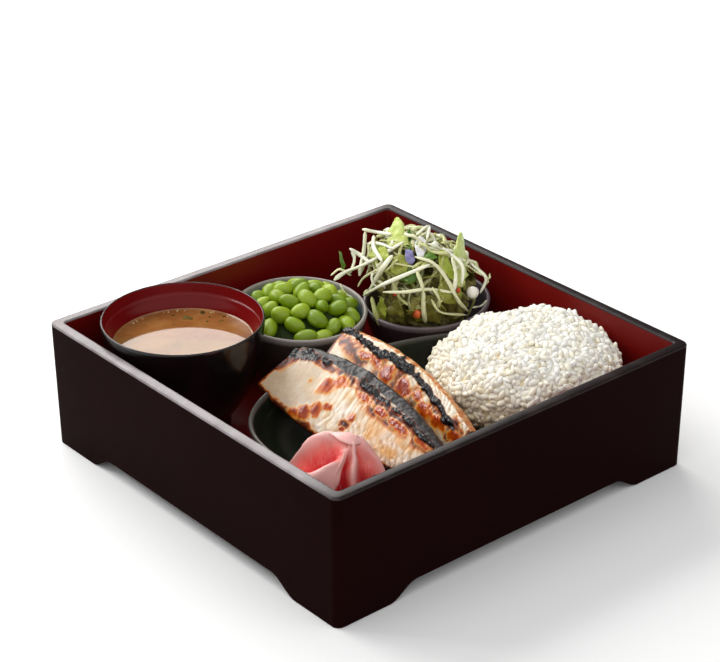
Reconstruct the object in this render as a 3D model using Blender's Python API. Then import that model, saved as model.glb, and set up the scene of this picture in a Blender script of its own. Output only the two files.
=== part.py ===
"""A bento meal in its square lacquer box: soup, soya beans, salad, rice, grilled fish and ginger."""
import math

import bmesh
import bpy
from mathutils import Vector, noise

MM = 0.001

# The box: square, moulded in one piece, with a foot at each corner.
BOX_HALF_TOP = 135.0 * MM
BOX_HALF_FOOT = 134.33 * MM
BOX_HEIGHT = 82.0 * MM
BOX_WALL = 6.9 * MM
BOX_CORNER = 5.0 * MM
BOX_INNER_CORNER = 4.0 * MM
BOX_INNER_DRAFT = 0.6 * MM
BOX_RIM_ROUND = 1.5 * MM
BOX_FLOOR_UNDER = 10.0 * MM
BOX_FLOOR = 15.0 * MM
BOX_FLOOR_FILLET = 5.0 * MM
FOOT_CUT = 8.8 * MM
FOOT_END = 97.5 * MM
FOOT_SWEEP = 20.0 * MM
FOOT_SWEEP_STEPS = 4
CORNER_STEPS = 4

# What stands on something keeps this gap to it.
GAP = 0.3 * MM
STAND = BOX_FLOOR + GAP

# The soup bowl: turned, tucked into the far left corner, a little higher than the box.
SOUP_CENTRE = (-77.5 * MM, 77.0 * MM)
SOUP_STEPS = 36
SOUP_OUTSIDE = [(22.0, 20.3), (22.8, 15.3), (26.6, 15.3), (27.2, 24.0), (31.5, 30.0), (36.2, 37.0),
                (40.2, 44.5), (43.3, 52.5), (45.8, 62.0), (47.6, 73.0), (48.7, 82.0), (49.0, 87.2)]
SOUP_RIM = [(48.6, 88.0), (48.0, 88.0)]
SOUP_INSIDE = [(47.5, 87.0), (46.7, 81.4), (45.4, 80.6), (42.3, 72.3), (40.9, 65.0), (38.6, 56.5),
               (35.4, 49.0), (30.5, 42.5), (23.5, 37.5), (14.0, 34.6)]
SOUP_BOTTOM = 33.8
SOUP_LEVEL = 72.3

# The two small round dishes, which lean a little, so that each rim rises to one side.
DISH_STEPS = 30
DISH_FOOT_RADIUS = 19.0 * MM
DISH_FOOT_HEIGHT = 4.0 * MM
DISH_WALL = 2.6 * MM
DISH_FLOOR = 4.5 * MM
DISH_SWEEP = math.radians(62)
DISH_INSIDE_SHARES = (0.0, 0.3, 0.55, 0.75, 0.93)
BEAN_DISH = {"centre": (12.0 * MM, 77.6 * MM), "radius": 42.3 * MM, "rim": 65.0 * MM, "lean": (0.0, 0.055)}
SALAD_DISH = {"centre": (86.6 * MM, 42.8 * MM), "radius": 40.4 * MM, "rim": 61.0 * MM, "lean": (0.05, 0.0)}

# The oval plate, between a circle and a rectangle, laid at a slight angle.
PLATE_CENTRE = (5.0 * MM, -50.0 * MM)
PLATE_HALF = (109.0 * MM, 73.0 * MM)
PLATE_POWER = 2.3
PLATE_TURN = math.radians(-10)
PLATE_STEPS = 40
PLATE_RIM = 56.0 * MM
PLATE_FLOOR = 29.0 * MM
PLATE_OUTSIDE = [(42.0, 19.0), (41.0, 15.3), (37.0, 15.3), (35.5, 20.0), (22.0, 24.5), (10.0, 34.5),
                 (3.0, 46.0), (0.5, 53.0), (0.0, 55.2)]
PLATE_INSIDE = [(1.1, 56.0), (2.6, 55.2), (4.4, 51.0), (8.0, 43.5), (15.0, 36.0), (26.0, 31.0), (40.0, 29.0)]

# Two fish fillets, each with a low edge on the plate and a high edge, along arcs from back to front.
FISH_STEPS = 14
FISH_SIDES = 14
FISH_FRONT = {"low": ((-63, 24, 59), (-45, -99, 47), (-6, 0, -9)),
              "high": ((-25, 26, 73), (-32, -101, 62), (8, 0, 10)), "thick": 15.0, "belly": 10.0}
FISH_BACK = {"low": ((-24, 19, 60), (-17, -98, 46), (-7, 0, -8)),
             "high": ((0, 19, 79), (-9, -100, 62), (7, 0, 7)), "thick": 14.0, "belly": 10.0}
FISH_END_TAPER = 0.72

# The rice, a broad flattened mound: how far it spreads at each height.
RICE_CENTRE = (69.0 * MM, -64.0 * MM)
RICE_HALF = (59.0 * MM, 53.5 * MM)
RICE_TURN = math.radians(-40)
RICE_STEPS = 32
RICE_RINGS = [(31.6, 0.55), (36.5, 0.80), (44.0, 0.95), (52.0, 1.0), (57.0, 1.0), (61.0, 1.0), (66.0, 0.99),
              (72.0, 0.94), (79.0, 0.82), (84.0, 0.62), (87.3, 0.35)]
RICE_TOP = 88.5

# The ginger, a loose bunch of folded slices.
GINGER_CENTRE = (-86.0 * MM, -78.0 * MM)
GINGER_BASE = (-70.0 * MM, -62.0 * MM)
GINGER_HALF = (30.0 * MM, 25.0 * MM)
GINGER_TURN = math.radians(-40)
GINGER_STEPS = 28
GINGER_RINGS = [(34.5, 0.45), (42.0, 0.7), (50.0, 0.9), (57.0, 1.0), (61.0, 1.0), (66.0, 0.86), (71.0, 0.63),
                (75.0, 0.34)]
GINGER_TOP = 76.5

# The beans and the salad stand heaped above their dishes.
HEAP_STEPS = 26
HEAP_WALL_GAP = 0.9 * MM
BEAN_RINGS = [(66.5, 0.88), (71.0, 0.72), (76.0, 0.52), (80.0, 0.30)]
BEAN_TOP = 82.0
SALAD_RINGS = [(62.5, 0.90), (68.0, 1.0), (76.0, 1.04), (85.0, 0.92), (94.0, 0.70), (101.0, 0.42)]
SALAD_TOP = 105.0
SALAD_DRIFT = (-8.0 * MM, 12.0 * MM)
FOOD_GAP = 1.6 * MM
RIM_KEEP = 9.0 * MM
RIM_EDGE = 3.5 * MM


def material(name, colour, roughness):
    """A plain surface of one colour."""
    made = bpy.data.materials.new(name)
    made.use_nodes = True
    shader = made.node_tree.nodes["Principled BSDF"]
    shader.inputs["Base Color"].default_value = (*colour, 1.0)
    shader.inputs["Roughness"].default_value = roughness
    shader.inputs["Metallic"].default_value = 0.0
    return made


def loft(name, sections, finish):
    """One closed solid through a row of sections; the first and the last one are filled."""
    mesh = bmesh.new()
    loops = [[mesh.verts.new(point) for point in section] for section in sections]
    for lower, upper in zip(loops, loops[1:]):
        count = len(lower)
        for i in range(count):
            mesh.faces.new((lower[i], lower[(i + 1) % count], upper[(i + 1) % count], upper[i]))
    for end in (loops[0], loops[-1]):
        middle = mesh.verts.new(sum((corner.co for corner in end), Vector()) / len(end))
        for i, corner in enumerate(end):
            mesh.faces.new((corner, end[(i + 1) % len(end)], middle))
    bmesh.ops.recalc_face_normals(mesh, faces=mesh.faces)
    if mesh.calc_volume(signed=True) < 0:
        bmesh.ops.reverse_faces(mesh, faces=mesh.faces)
    data = bpy.data.meshes.new(name)
    mesh.to_mesh(data)
    mesh.free()
    data.materials.append(finish)
    data.shade_smooth()
    data.set_sharp_from_angle(angle=math.radians(35))
    made = bpy.data.objects.new(name, data)
    bpy.context.collection.objects.link(made)
    return made


def turned(name, centre, profile, steps, finish, lean=(0.0, 0.0), lean_foot=0.0, lean_rim=1.0):
    """A turned solid; profile runs from the underside up the outside and down the inside."""
    sections = []
    for radius, height in profile:
        share = (height - lean_foot) / (lean_rim - lean_foot)
        ring = []
        for i in range(steps):
            angle = 2 * math.pi * i / steps
            east = radius * math.cos(angle)
            north = radius * math.sin(angle)
            rise = share * (lean[0] * east + lean[1] * north)
            ring.append(Vector((centre[0] + east, centre[1] + north, height + rise)))
        sections.append(ring)
    return loft(name, sections, finish)


def millimetres(profile):
    return [(across * MM, height * MM) for across, height in profile]


def foot_line(along):
    """Height of the box's lower edge: flat feet, then a smooth sweep up to the raised middle."""
    share = min(1.0, max(0.0, (FOOT_END - abs(along)) / FOOT_SWEEP))
    return FOOT_CUT * share * share * (3 - 2 * share)


def square_ring(half, corner, height, footed=False):
    """A square with round corners, and points along each side where the feet's sweeps need them."""
    sweep = [FOOT_END - FOOT_SWEEP * k / FOOT_SWEEP_STEPS for k in range(FOOT_SWEEP_STEPS + 1)]
    along_side = sweep + [-value for value in reversed(sweep)]
    points = []
    for side in range(4):
        turn = math.pi / 2 * side
        flat = []
        for k in range(CORNER_STEPS + 1):
            angle = math.pi / 2 * (k / CORNER_STEPS)
            flat.append((half - corner + corner * math.cos(angle), half - corner + corner * math.sin(angle), 0.0))
        for along in along_side:
            flat.append((along, half, foot_line(along) if footed else 0.0))
        for x, y, rise in flat:
            points.append(Vector((x * math.cos(turn) - y * math.sin(turn),
                                  x * math.sin(turn) + y * math.cos(turn), height + rise)))
    return points


def build_box():
    """Skirt and feet, outer wall, rounded rim, inner wall, and a filleted floor, as one solid."""
    inner_top = BOX_HALF_TOP - BOX_WALL
    inner_foot = inner_top - BOX_INNER_DRAFT
    skirt = BOX_HALF_FOOT - BOX_WALL
    edge = BOX_RIM_ROUND
    slack = edge * (1 - math.cos(math.pi / 4))
    sections = [
        square_ring(skirt, BOX_INNER_CORNER, BOX_FLOOR_UNDER),
        square_ring(skirt, BOX_INNER_CORNER, 0.0, footed=True),
        square_ring(BOX_HALF_FOOT, BOX_CORNER, 0.0, footed=True),
        square_ring(BOX_HALF_TOP, BOX_CORNER, BOX_HEIGHT - edge),
        square_ring(BOX_HALF_TOP - slack, BOX_CORNER, BOX_HEIGHT - slack),
        square_ring(BOX_HALF_TOP - edge, BOX_CORNER - slack, BOX_HEIGHT),
        square_ring(inner_top + edge, BOX_INNER_CORNER + slack, BOX_HEIGHT),
        square_ring(inner_top + slack, BOX_INNER_CORNER, BOX_HEIGHT - slack),
        square_ring(inner_top, BOX_INNER_CORNER, BOX_HEIGHT - edge),
    ]
    for k in range(3):
        angle = math.pi / 2 * k / 2
        inset = BOX_FLOOR_FILLET * (1 - math.cos(angle))
        drop = BOX_FLOOR_FILLET * (1 - math.sin(angle))
        sections.append(square_ring(inner_foot - inset, BOX_INNER_CORNER, BOX_FLOOR + drop))
    return loft("box", sections, material("lacquer_dark", (0.020, 0.008, 0.007), 0.3))


def soup_inside(height):
    """Inner radius of the soup bowl at a height, both in millimetres."""
    wall = SOUP_INSIDE + [(0.0, SOUP_BOTTOM)]
    for (outer, top), (inner, bottom) in zip(wall, wall[1:]):
        if bottom <= height <= top:
            return inner + (outer - inner) * (height - bottom) / (top - bottom)
    return wall[0][0]


def build_soup_bowl():
    profile = millimetres(SOUP_OUTSIDE + SOUP_RIM + SOUP_INSIDE)
    return turned("soup_bowl", SOUP_CENTRE, profile, SOUP_STEPS, material("lacquer_black", (0.006, 0.005, 0.005), 0.25))


def build_soup():
    """The soup fills its bowl up to the level, clear of the wall by the gap."""
    clear = GAP / MM
    heights = [35.2, 38.5, 43.5, 50.0, 57.0, 65.0, SOUP_LEVEL]
    profile = [(soup_inside(height - clear) - 1.5 * clear, height) for height in heights]
    return turned("soup", SOUP_CENTRE, millimetres(profile), SOUP_STEPS, material("miso", (0.50, 0.32, 0.17), 0.2))


def dish_curve(dish, share, inset, lift):
    """A point on a small dish's round side: share 0 at the foot ring, 1 at the rim."""
    base = STAND + DISH_FOOT_HEIGHT
    angle = DISH_SWEEP * share
    reach = math.sin(angle) / math.sin(DISH_SWEEP)
    rise = (1 - math.cos(angle)) / (1 - math.cos(DISH_SWEEP))
    radius = DISH_FOOT_RADIUS + (dish["radius"] - DISH_FOOT_RADIUS) * reach - inset
    return radius, base + lift + (dish["rim"] - base - lift) * rise


def build_dish(name, dish):
    """Foot ring, round side, thick rounded rim and a bowl inside."""
    foot = DISH_FOOT_RADIUS
    profile = [(foot - 5 * MM, STAND + 2.5 * MM), (foot - 4 * MM, STAND), (foot - 0.5 * MM, STAND)]
    profile += [dish_curve(dish, share, 0.0, 0.0) for share in (0.0, 0.25, 0.5, 0.7, 0.86)]
    profile += [(dish["radius"], dish["rim"] - 1.0 * MM), (dish["radius"] - 0.7 * MM, dish["rim"]),
                (dish["radius"] - DISH_WALL + 0.6 * MM, dish["rim"])]
    profile += [dish_curve(dish, share, DISH_WALL, DISH_FLOOR) for share in reversed(DISH_INSIDE_SHARES)]
    return turned(name, dish["centre"], profile, DISH_STEPS, material(name + "_glaze", (0.05, 0.045, 0.043), 0.35),
                  dish["lean"], STAND, dish["rim"])


def build_heap(name, dish, rings, top, drift, roughness_depth, seed, finish):
    """A heap that fills a dish up to its rim and stands above it with an uneven outline."""
    inside = []
    for share in DISH_INSIDE_SHARES:
        radius, height = dish_curve(dish, share, DISH_WALL, DISH_FLOOR)
        inside.append((radius - HEAP_WALL_GAP, height + 0.4 * MM, 0.0))
    lip = dish["radius"] - DISH_WALL
    above = [(lip * spread, height * MM, 1.0) for height, spread in rings]
    rows = inside + above + [(lip * 0.05, top * MM, 0.4)]
    rim = dish["rim"]
    sections = []
    for radius, height, uneven in rows:
        climb = max(0.0, (height - rim) / (top * MM - rim))
        share = min(1.0, (height - STAND) / (rim - STAND))
        ring = []
        for i in range(HEAP_STEPS):
            angle = 2 * math.pi * i / HEAP_STEPS
            spot = Vector((math.cos(angle) * 1.7, math.sin(angle) * 1.7, height / MM / 14 + seed))
            reach = radius * (1 + uneven * roughness_depth * (noise.noise(spot) - 0.1))
            east = reach * math.cos(angle)
            north = reach * math.sin(angle)
            rise = share * (dish["lean"][0] * east + dish["lean"][1] * north)
            ring.append(Vector((dish["centre"][0] + east + drift[0] * climb,
                                dish["centre"][1] + north + drift[1] * climb, height + rise)))
        sections.append(ring)
    return loft(name, sections, finish)


def oval_point(angle, inset):
    """A point of the plate's outline, drawn in by an inset, seen from above."""
    across = math.cos(angle)
    deep = math.sin(angle)
    x = (PLATE_HALF[0] - inset) * math.copysign(abs(across) ** (2 / PLATE_POWER), across)
    y = (PLATE_HALF[1] - inset) * math.copysign(abs(deep) ** (2 / PLATE_POWER), deep)
    return (PLATE_CENTRE[0] + x * math.cos(PLATE_TURN) - y * math.sin(PLATE_TURN),
            PLATE_CENTRE[1] + x * math.sin(PLATE_TURN) + y * math.cos(PLATE_TURN))


def build_plate():
    """Foot, curved outside, rounded rim and a shallow bowl inside, all on the same oval."""
    sections = []
    for inset, height in millimetres(PLATE_OUTSIDE + PLATE_INSIDE):
        ring = []
        for i in range(PLATE_STEPS):
            x, y = oval_point(2 * math.pi * i / PLATE_STEPS, inset)
            ring.append(Vector((x, y, height)))
        sections.append(ring)
    return loft("plate", sections, material("plate_glaze", (0.016, 0.020, 0.016), 0.2))


def plate_inset(x, y):
    """How far inside the plate's outline a point lies; negative outside it."""
    east = x - PLATE_CENTRE[0]
    north = y - PLATE_CENTRE[1]
    along = abs(east * math.cos(PLATE_TURN) + north * math.sin(PLATE_TURN))
    aside = abs(-east * math.sin(PLATE_TURN) + north * math.cos(PLATE_TURN))
    least, most = -PLATE_HALF[1], PLATE_HALF[1] * 0.98
    for _ in range(24):
        inset = (least + most) / 2
        share = (along / (PLATE_HALF[0] - inset)) ** PLATE_POWER + (aside / (PLATE_HALF[1] - inset)) ** PLATE_POWER
        if share < 1:
            least = inset
        else:
            most = inset
    return least


def resting_height(x, y):
    """The lowest height for food at a point: just above the plate's inside, and clear over its rim."""
    inset = plate_inset(x, y)
    wall = millimetres(PLATE_INSIDE)
    if inset < RIM_EDGE:
        return PLATE_RIM + 1.5 * FOOD_GAP
    if inset < RIM_KEEP:
        return PLATE_RIM + FOOD_GAP / 2
    for (outer, top), (inner, bottom) in zip(wall, wall[1:]):
        if outer <= inset <= inner:
            return top + (bottom - top) * (inset - outer) / (inner - outer) + FOOD_GAP
    return PLATE_FLOOR + FOOD_GAP


def fits(x, y, height):
    """Whether a point keeps clear of the plate and of the box's inner wall."""
    in_box = max(abs(x), abs(y)) < BOX_HALF_TOP - BOX_WALL - BOX_INNER_DRAFT - 2 * GAP
    return in_box and height > resting_height(x, y)


def build_mound(name, base, crown, half, turn, rings, top, steps, uneven, seed, finish):
    """A mound on the plate, drawn in wherever the plate or the box would touch it."""
    sections = []
    for height, spread in rings + [(top, 0.06)]:
        climb = min(1.0, (height * MM - PLATE_FLOOR) / (PLATE_RIM - PLATE_FLOOR))
        centre = Vector(base).lerp(Vector(crown), climb)
        ring = []
        for i in range(steps):
            angle = 2 * math.pi * i / steps
            spot = Vector((math.cos(angle) * 2.3, math.sin(angle) * 2.3, height / 11 + seed))
            grow = spread * (1 - uneven * (0.5 - 0.5 * noise.noise(spot)))
            across = half[0] * grow * math.cos(angle)
            deep = half[1] * grow * math.sin(angle)
            east = across * math.cos(turn) - deep * math.sin(turn)
            north = across * math.sin(turn) + deep * math.cos(turn)
            scale = 1.0
            while scale > 0.1 and not fits(centre.x + east * scale, centre.y + north * scale, height * MM):
                scale -= 0.01
            ring.append(Vector((centre.x + east * scale, centre.y + north * scale, height * MM)))
        sections.append(ring)
    return loft(name, sections, finish)


def arc(ends, share):
    """A point along a shallow arc: its two ends and how far its middle stands off."""
    start, stop, bulge = (Vector(value) * MM for value in ends)
    return start.lerp(stop, share) + bulge * 4 * share * (1 - share)


def build_fillet(name, fillet, finish):
    """A fillet as cross sections from its back end to its front end."""
    sections = []
    for k in range(FISH_STEPS + 1):
        share = k / FISH_STEPS
        low = arc(fillet["low"], share)
        high = arc(fillet["high"], share)
        along = (arc(fillet["low"], min(1.0, share + 0.02)) - arc(fillet["low"], max(0.0, share - 0.02))).normalized()
        width = high - low
        under = width.cross(along).normalized()
        end = min(1.0, min(share, 1 - share) * 8)
        swell = FISH_END_TAPER + (1 - FISH_END_TAPER) * math.sin(end * math.pi / 2)
        middle_thick = (fillet["thick"] + fillet["belly"]) / 2 * MM
        middle = low + width / 2 + under * middle_thick / 2
        ring = []
        for i in range(FISH_SIDES):
            angle = 2 * math.pi * (i + 0.5) / FISH_SIDES
            across = math.copysign(abs(math.cos(angle)) ** 0.55, math.cos(angle))
            deep = math.copysign(abs(math.sin(angle)) ** 0.55, math.sin(angle))
            thick = (fillet["belly"] + (fillet["thick"] - fillet["belly"]) * (across + 1) / 2) * MM * swell
            point = middle + width * (across / 2) * (0.94 + 0.06 * swell) - under * (deep * thick / 2)
            point.z = max(point.z, resting_height(point.x, point.y))
            ring.append(point)
        sections.append(ring)
    return loft(name, sections, finish)


for old in list(bpy.data.objects):
    bpy.data.objects.remove(old, do_unlink=True)

build_box()
build_soup_bowl()
build_soup()
build_dish("bean_dish", BEAN_DISH)
build_heap("soya_beans", BEAN_DISH, BEAN_RINGS, BEAN_TOP, (0.0, 0.0), 0.16, 3.0,
           material("bean_green", (0.22, 0.42, 0.03), 0.4))
build_dish("salad_dish", SALAD_DISH)
build_heap("salad", SALAD_DISH, SALAD_RINGS, SALAD_TOP, SALAD_DRIFT, 0.3, 8.0,
           material("leaf_mix", (0.55, 0.62, 0.33), 0.6))
build_plate()
build_mound("rice", RICE_CENTRE, RICE_CENTRE, RICE_HALF, RICE_TURN, RICE_RINGS, RICE_TOP, RICE_STEPS, 0.07, 5.0,
            material("rice_white", (0.82, 0.80, 0.72), 0.5))
build_mound("ginger", GINGER_BASE, GINGER_CENTRE, GINGER_HALF, GINGER_TURN, GINGER_RINGS, GINGER_TOP, GINGER_STEPS, 0.3, 2.0,
            material("ginger_pink", (0.86, 0.35, 0.36), 0.4))
build_fillet("fish_front", FISH_FRONT, material("fish_white", (0.70, 0.58, 0.42), 0.4))
build_fillet("fish_back", FISH_BACK, material("fish_brown", (0.70, 0.50, 0.30), 0.4))
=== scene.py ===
"""A bento meal in its square lacquer box: soup, soya beans, salad, rice, grilled fish and pickled ginger."""

import math

import bmesh
import bpy
import numpy as np
from mathutils import Matrix, Vector, bvhtree, noise


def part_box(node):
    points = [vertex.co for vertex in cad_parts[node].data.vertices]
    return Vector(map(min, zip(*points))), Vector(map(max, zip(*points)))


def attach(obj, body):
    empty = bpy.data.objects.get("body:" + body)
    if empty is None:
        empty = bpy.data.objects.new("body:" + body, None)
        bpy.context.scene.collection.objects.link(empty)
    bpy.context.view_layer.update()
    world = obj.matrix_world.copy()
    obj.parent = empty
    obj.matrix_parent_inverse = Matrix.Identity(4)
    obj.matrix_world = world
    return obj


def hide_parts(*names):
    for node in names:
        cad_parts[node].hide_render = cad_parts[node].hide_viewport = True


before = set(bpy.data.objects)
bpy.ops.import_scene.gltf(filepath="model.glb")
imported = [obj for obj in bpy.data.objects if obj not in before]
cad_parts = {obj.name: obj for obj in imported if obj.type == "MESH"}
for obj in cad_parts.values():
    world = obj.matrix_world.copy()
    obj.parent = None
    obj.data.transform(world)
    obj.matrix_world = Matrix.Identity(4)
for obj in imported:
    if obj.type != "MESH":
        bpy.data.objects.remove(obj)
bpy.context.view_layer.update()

# ---------------------------------------------------------------- lacquer box
# A square box moulded in one piece and lacquered dark brown outside and red inside.
# Its rim is rounded and rubbed smooth, and it stands on four corner feet with swept ends.
MM = 0.001
BOX_WALL = 6.9 * MM
BOX_CORNER = 5.0 * MM
BOX_INNER_CORNER = 2.0 * MM
BOX_DRAFT = 0.67 * MM
BOX_INNER_DRAFT = 0.6 * MM
BOX_EDGE = 1.5 * MM
BOX_FLOOR_UNDER = 10.0 * MM
BOX_FLOOR = 15.0 * MM
BOX_FILLET = 5.0 * MM
FOOT_CUT = 8.8 * MM
FOOT_END = 97.5 * MM
FOOT_SWEEP = 20.0 * MM
CORNER_STEPS = 10
SWEEP_STEPS = 14


def tint(red, green, blue):
    """A colour given by its 0 to 255 screen values, as the linear numbers that a shader takes."""
    return tuple(((value / 255 + 0.055) / 1.055) ** 2.4 if value > 10 else value / 3294.6
                 for value in (red, green, blue))


class Finish:
    """One surface finish: its shader, and short calls for the nodes that feed it."""

    def __init__(self, name, **sockets):
        self.material = bpy.data.materials.new(name)
        self.material.use_nodes = True
        self.nodes = self.material.node_tree.nodes
        self.shader = self.nodes["Principled BSDF"]
        self.place = self.add("ShaderNodeTexCoord").outputs["Object"]
        self.set(Subsurface_Scale=1.0, **sockets)

    def feed(self, socket, value):
        if isinstance(value, bpy.types.NodeSocket):
            self.material.node_tree.links.new(value, socket)
        elif socket.type == "RGBA":
            socket.default_value = (*value, 1.0)
        else:
            socket.default_value = value

    def set(self, **sockets):
        """Sets or links the shader's sockets by name, with _ for a space."""
        for name, value in sockets.items():
            self.feed(self.shader.inputs[name.replace("_", " ")], value)

    def add(self, kind, inputs=(), **settings):
        made = self.nodes.new(kind)
        for name, value in settings.items():
            setattr(made, name, value)
        for key, value in dict(inputs).items():
            self.feed(made.inputs[key], value)
        return made

    def grain(self, size, detail=3.0, stretch=(1, 1, 1), turn=(0, 0, 0), shift=0.0):
        """Soft random values from 0 to 1, in patches of the given size in metres."""
        mapping = self.add("ShaderNodeMapping",
                           {"Vector": self.place, "Rotation": turn, "Location": (shift,) * 3,
                                                 "Scale": tuple(1 / (size * part) for part in stretch)})
        return self.add("ShaderNodeTexNoise",
                        {"Vector": mapping.outputs[0], "Scale": 1.0, "Detail": detail}).outputs[0]

    def cells(self, size, feature="F1", stretch=(1, 1, 1), turn=(0, 0, 0)):
        """Distances in a pattern of irregular cells of the given size in metres."""
        mapping = self.add("ShaderNodeMapping", {"Vector": self.place, "Rotation": turn,
                                                 "Scale": tuple(1 / (size * part) for part in stretch)})
        return self.add("ShaderNodeTexVoronoi", {"Vector": mapping.outputs[0], "Scale": 1.0},
                        feature=feature).outputs["Distance"]

    def own(self, name):
        """The piece's own attribute of that name."""
        return self.add("ShaderNodeAttribute", attribute_name=name).outputs["Fac"]

    def span(self, amount, low, high, start=0.0, end=1.0):
        """The amount, with its range from start to end carried over to low to high."""
        return self.add("ShaderNodeMapRange", {0: amount, 1: start, 2: end, 3: low, 4: high}).outputs[0]

    def sum(self, first, second, kind="ADD"):
        return self.add("ShaderNodeMath", {0: first, 1: second}, operation=kind, use_clamp=True).outputs[0]

    def mix(self, share, first, second, kind="MIX"):
        made = self.add("ShaderNodeMix", {0: share, 6: first, 7: second}, data_type="RGBA", blend_type=kind)
        return made.outputs[2]

    def ramp(self, amount, *stops):
        """Colours along an amount, from (place, colour) stops."""
        made = self.add("ShaderNodeValToRGB", {0: amount})
        band = made.color_ramp
        while len(band.elements) < len(stops):
            band.elements.new(0.5)
        for element, (place, colour) in zip(band.elements, stops):
            element.position = place
            element.color = (*colour, 1.0)
        return made.outputs[0]

    def bump(self, height, depth, below=None):
        """Raises the surface by the height times a depth in metres, on top of another bump."""
        made = self.add("ShaderNodeBump", {"Height": height, "Distance": depth, "Strength": 1.0})
        if below:
            self.feed(made.inputs["Normal"], below)
        self.set(Normal=made.outputs[0])
        return made.outputs[0]


def skinned(name, rings, *finishes, rows=None, sharp=35.0, **attributes):
    """A closed piece through a row of rings of points, its two ends filled; rows gives each row's finish."""
    rings = np.asarray(rings, float)
    count, around = rings.shape[:2]
    points = list(map(tuple, rings.reshape(-1, 3)))
    faces = []
    which = []
    for k in range(count - 1):
        for i in range(around):
            j = (i + 1) % around
            faces.append((k * around + i, k * around + j, (k + 1) * around + j, (k + 1) * around + i))
            which.append(rows[k] if rows else 0)
    for k, row in ((0, 0), (count - 1, -1)):
        points.append(tuple(rings[k].mean(0)))
        for i in range(around):
            faces.append((k * around + i, k * around + (i + 1) % around, len(points) - 1))
            which.append(rows[row] if rows else 0)
    data = bpy.data.meshes.new(name)
    data.from_pydata(points, [], faces)
    for finish in finishes:
        data.materials.append(finish.material)
    data.polygons.foreach_set("material_index", which)
    for key, values in attributes.items():
        values = np.asarray(values, float).reshape(count, -1) * np.ones((count, around))
        whole = np.concatenate([values.ravel(), [values[0].mean(), values[-1].mean()]])
        data.attributes.new(key, "FLOAT", "POINT").data.foreach_set("value", whole)
    made = bmesh.new()
    made.from_mesh(data)
    bmesh.ops.recalc_face_normals(made, faces=made.faces)
    if made.calc_volume(signed=True) < 0:
        bmesh.ops.reverse_faces(made, faces=made.faces)
    made.to_mesh(data)
    made.free()
    data.shade_smooth()
    data.set_sharp_from_angle(angle=math.radians(sharp))
    piece = bpy.data.objects.new(name, data)
    bpy.context.scene.collection.objects.link(piece)
    return piece


def foot_line(along):
    """Height of the box's lower edge: flat feet, then a sweep up to the raised middle."""
    share = min(1.0, max(0.0, (FOOT_END - abs(along)) / FOOT_SWEEP))
    return FOOT_CUT * share * share * (3 - 2 * share)


def square_ring(half, corner, height, footed=False):
    """A square with round corners, with points along each side where the feet sweep up."""
    sweep = [FOOT_END - FOOT_SWEEP * k / SWEEP_STEPS for k in range(SWEEP_STEPS + 1)]
    ring = []
    for side in range(4):
        flat = []
        for k in range(CORNER_STEPS + 1):
            angle = math.pi / 2 * k / CORNER_STEPS
            flat.append((half - corner + corner * math.cos(angle), half - corner + corner * math.sin(angle),
                         0.0))
        for along in sweep + [-value for value in reversed(sweep)]:
            flat.append((along, half, foot_line(along) if footed else 0.0))
        turn = Matrix.Rotation(math.pi / 2 * side, 3, "Z")
        ring += [turn @ Vector((x, y, height + rise)) for x, y, rise in flat]
    return ring


box_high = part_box("box")[1]
half_top = box_high.x
half_foot = half_top - BOX_DRAFT
inner_top = half_top - BOX_WALL
inner_foot = inner_top - BOX_INNER_DRAFT
rim_bends = [math.pi / 2 * k / 5 for k in range(6)]
box_rings = [square_ring(half_foot - BOX_WALL, BOX_INNER_CORNER, BOX_FLOOR_UNDER),
             square_ring(half_foot - BOX_WALL, BOX_INNER_CORNER, 0.0, footed=True),
             square_ring(half_foot - 0.5 * MM, BOX_CORNER - 0.5 * MM, 0.0, footed=True),
             square_ring(half_foot, BOX_CORNER, 0.5 * MM, footed=True)]
for bend in rim_bends:
    inset = BOX_EDGE * (1 - math.cos(bend))
    box_rings.append(square_ring(half_top - inset, BOX_CORNER - inset,
                                 box_high.z - BOX_EDGE * (1 - math.sin(bend))))
for bend in reversed(rim_bends):
    inset = BOX_EDGE * (1 - math.cos(bend))
    box_rings.append(square_ring(inner_top + inset, BOX_INNER_CORNER + inset,
                                 box_high.z - BOX_EDGE * (1 - math.sin(bend))))
for k in range(7):
    bend = math.pi / 2 * k / 6
    box_rings.append(square_ring(inner_foot - BOX_FILLET * (1 - math.cos(bend)), BOX_INNER_CORNER,
                                 BOX_FLOOR + BOX_FILLET * (1 - math.sin(bend))))
OUTSIDE, RIM, INSIDE = 0, 1, 2
box_rows = [OUTSIDE] * 4 + [RIM] * 10 + [INSIDE] * 8

brown_lacquer = Finish("brown_lacquer", Specular_IOR_Level=0.012)
brown_cloud = brown_lacquer.grain(60 * MM, detail=2.0)
brown_lacquer.set(Base_Color=brown_lacquer.mix(brown_cloud, tint(25, 5, 5), tint(18, 3, 3)),
                  Roughness=brown_lacquer.span(brown_lacquer.grain(9 * MM), 0.38, 0.52))
brown_lacquer.bump(brown_lacquer.grain(1.6 * MM), 0.012 * MM)

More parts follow.
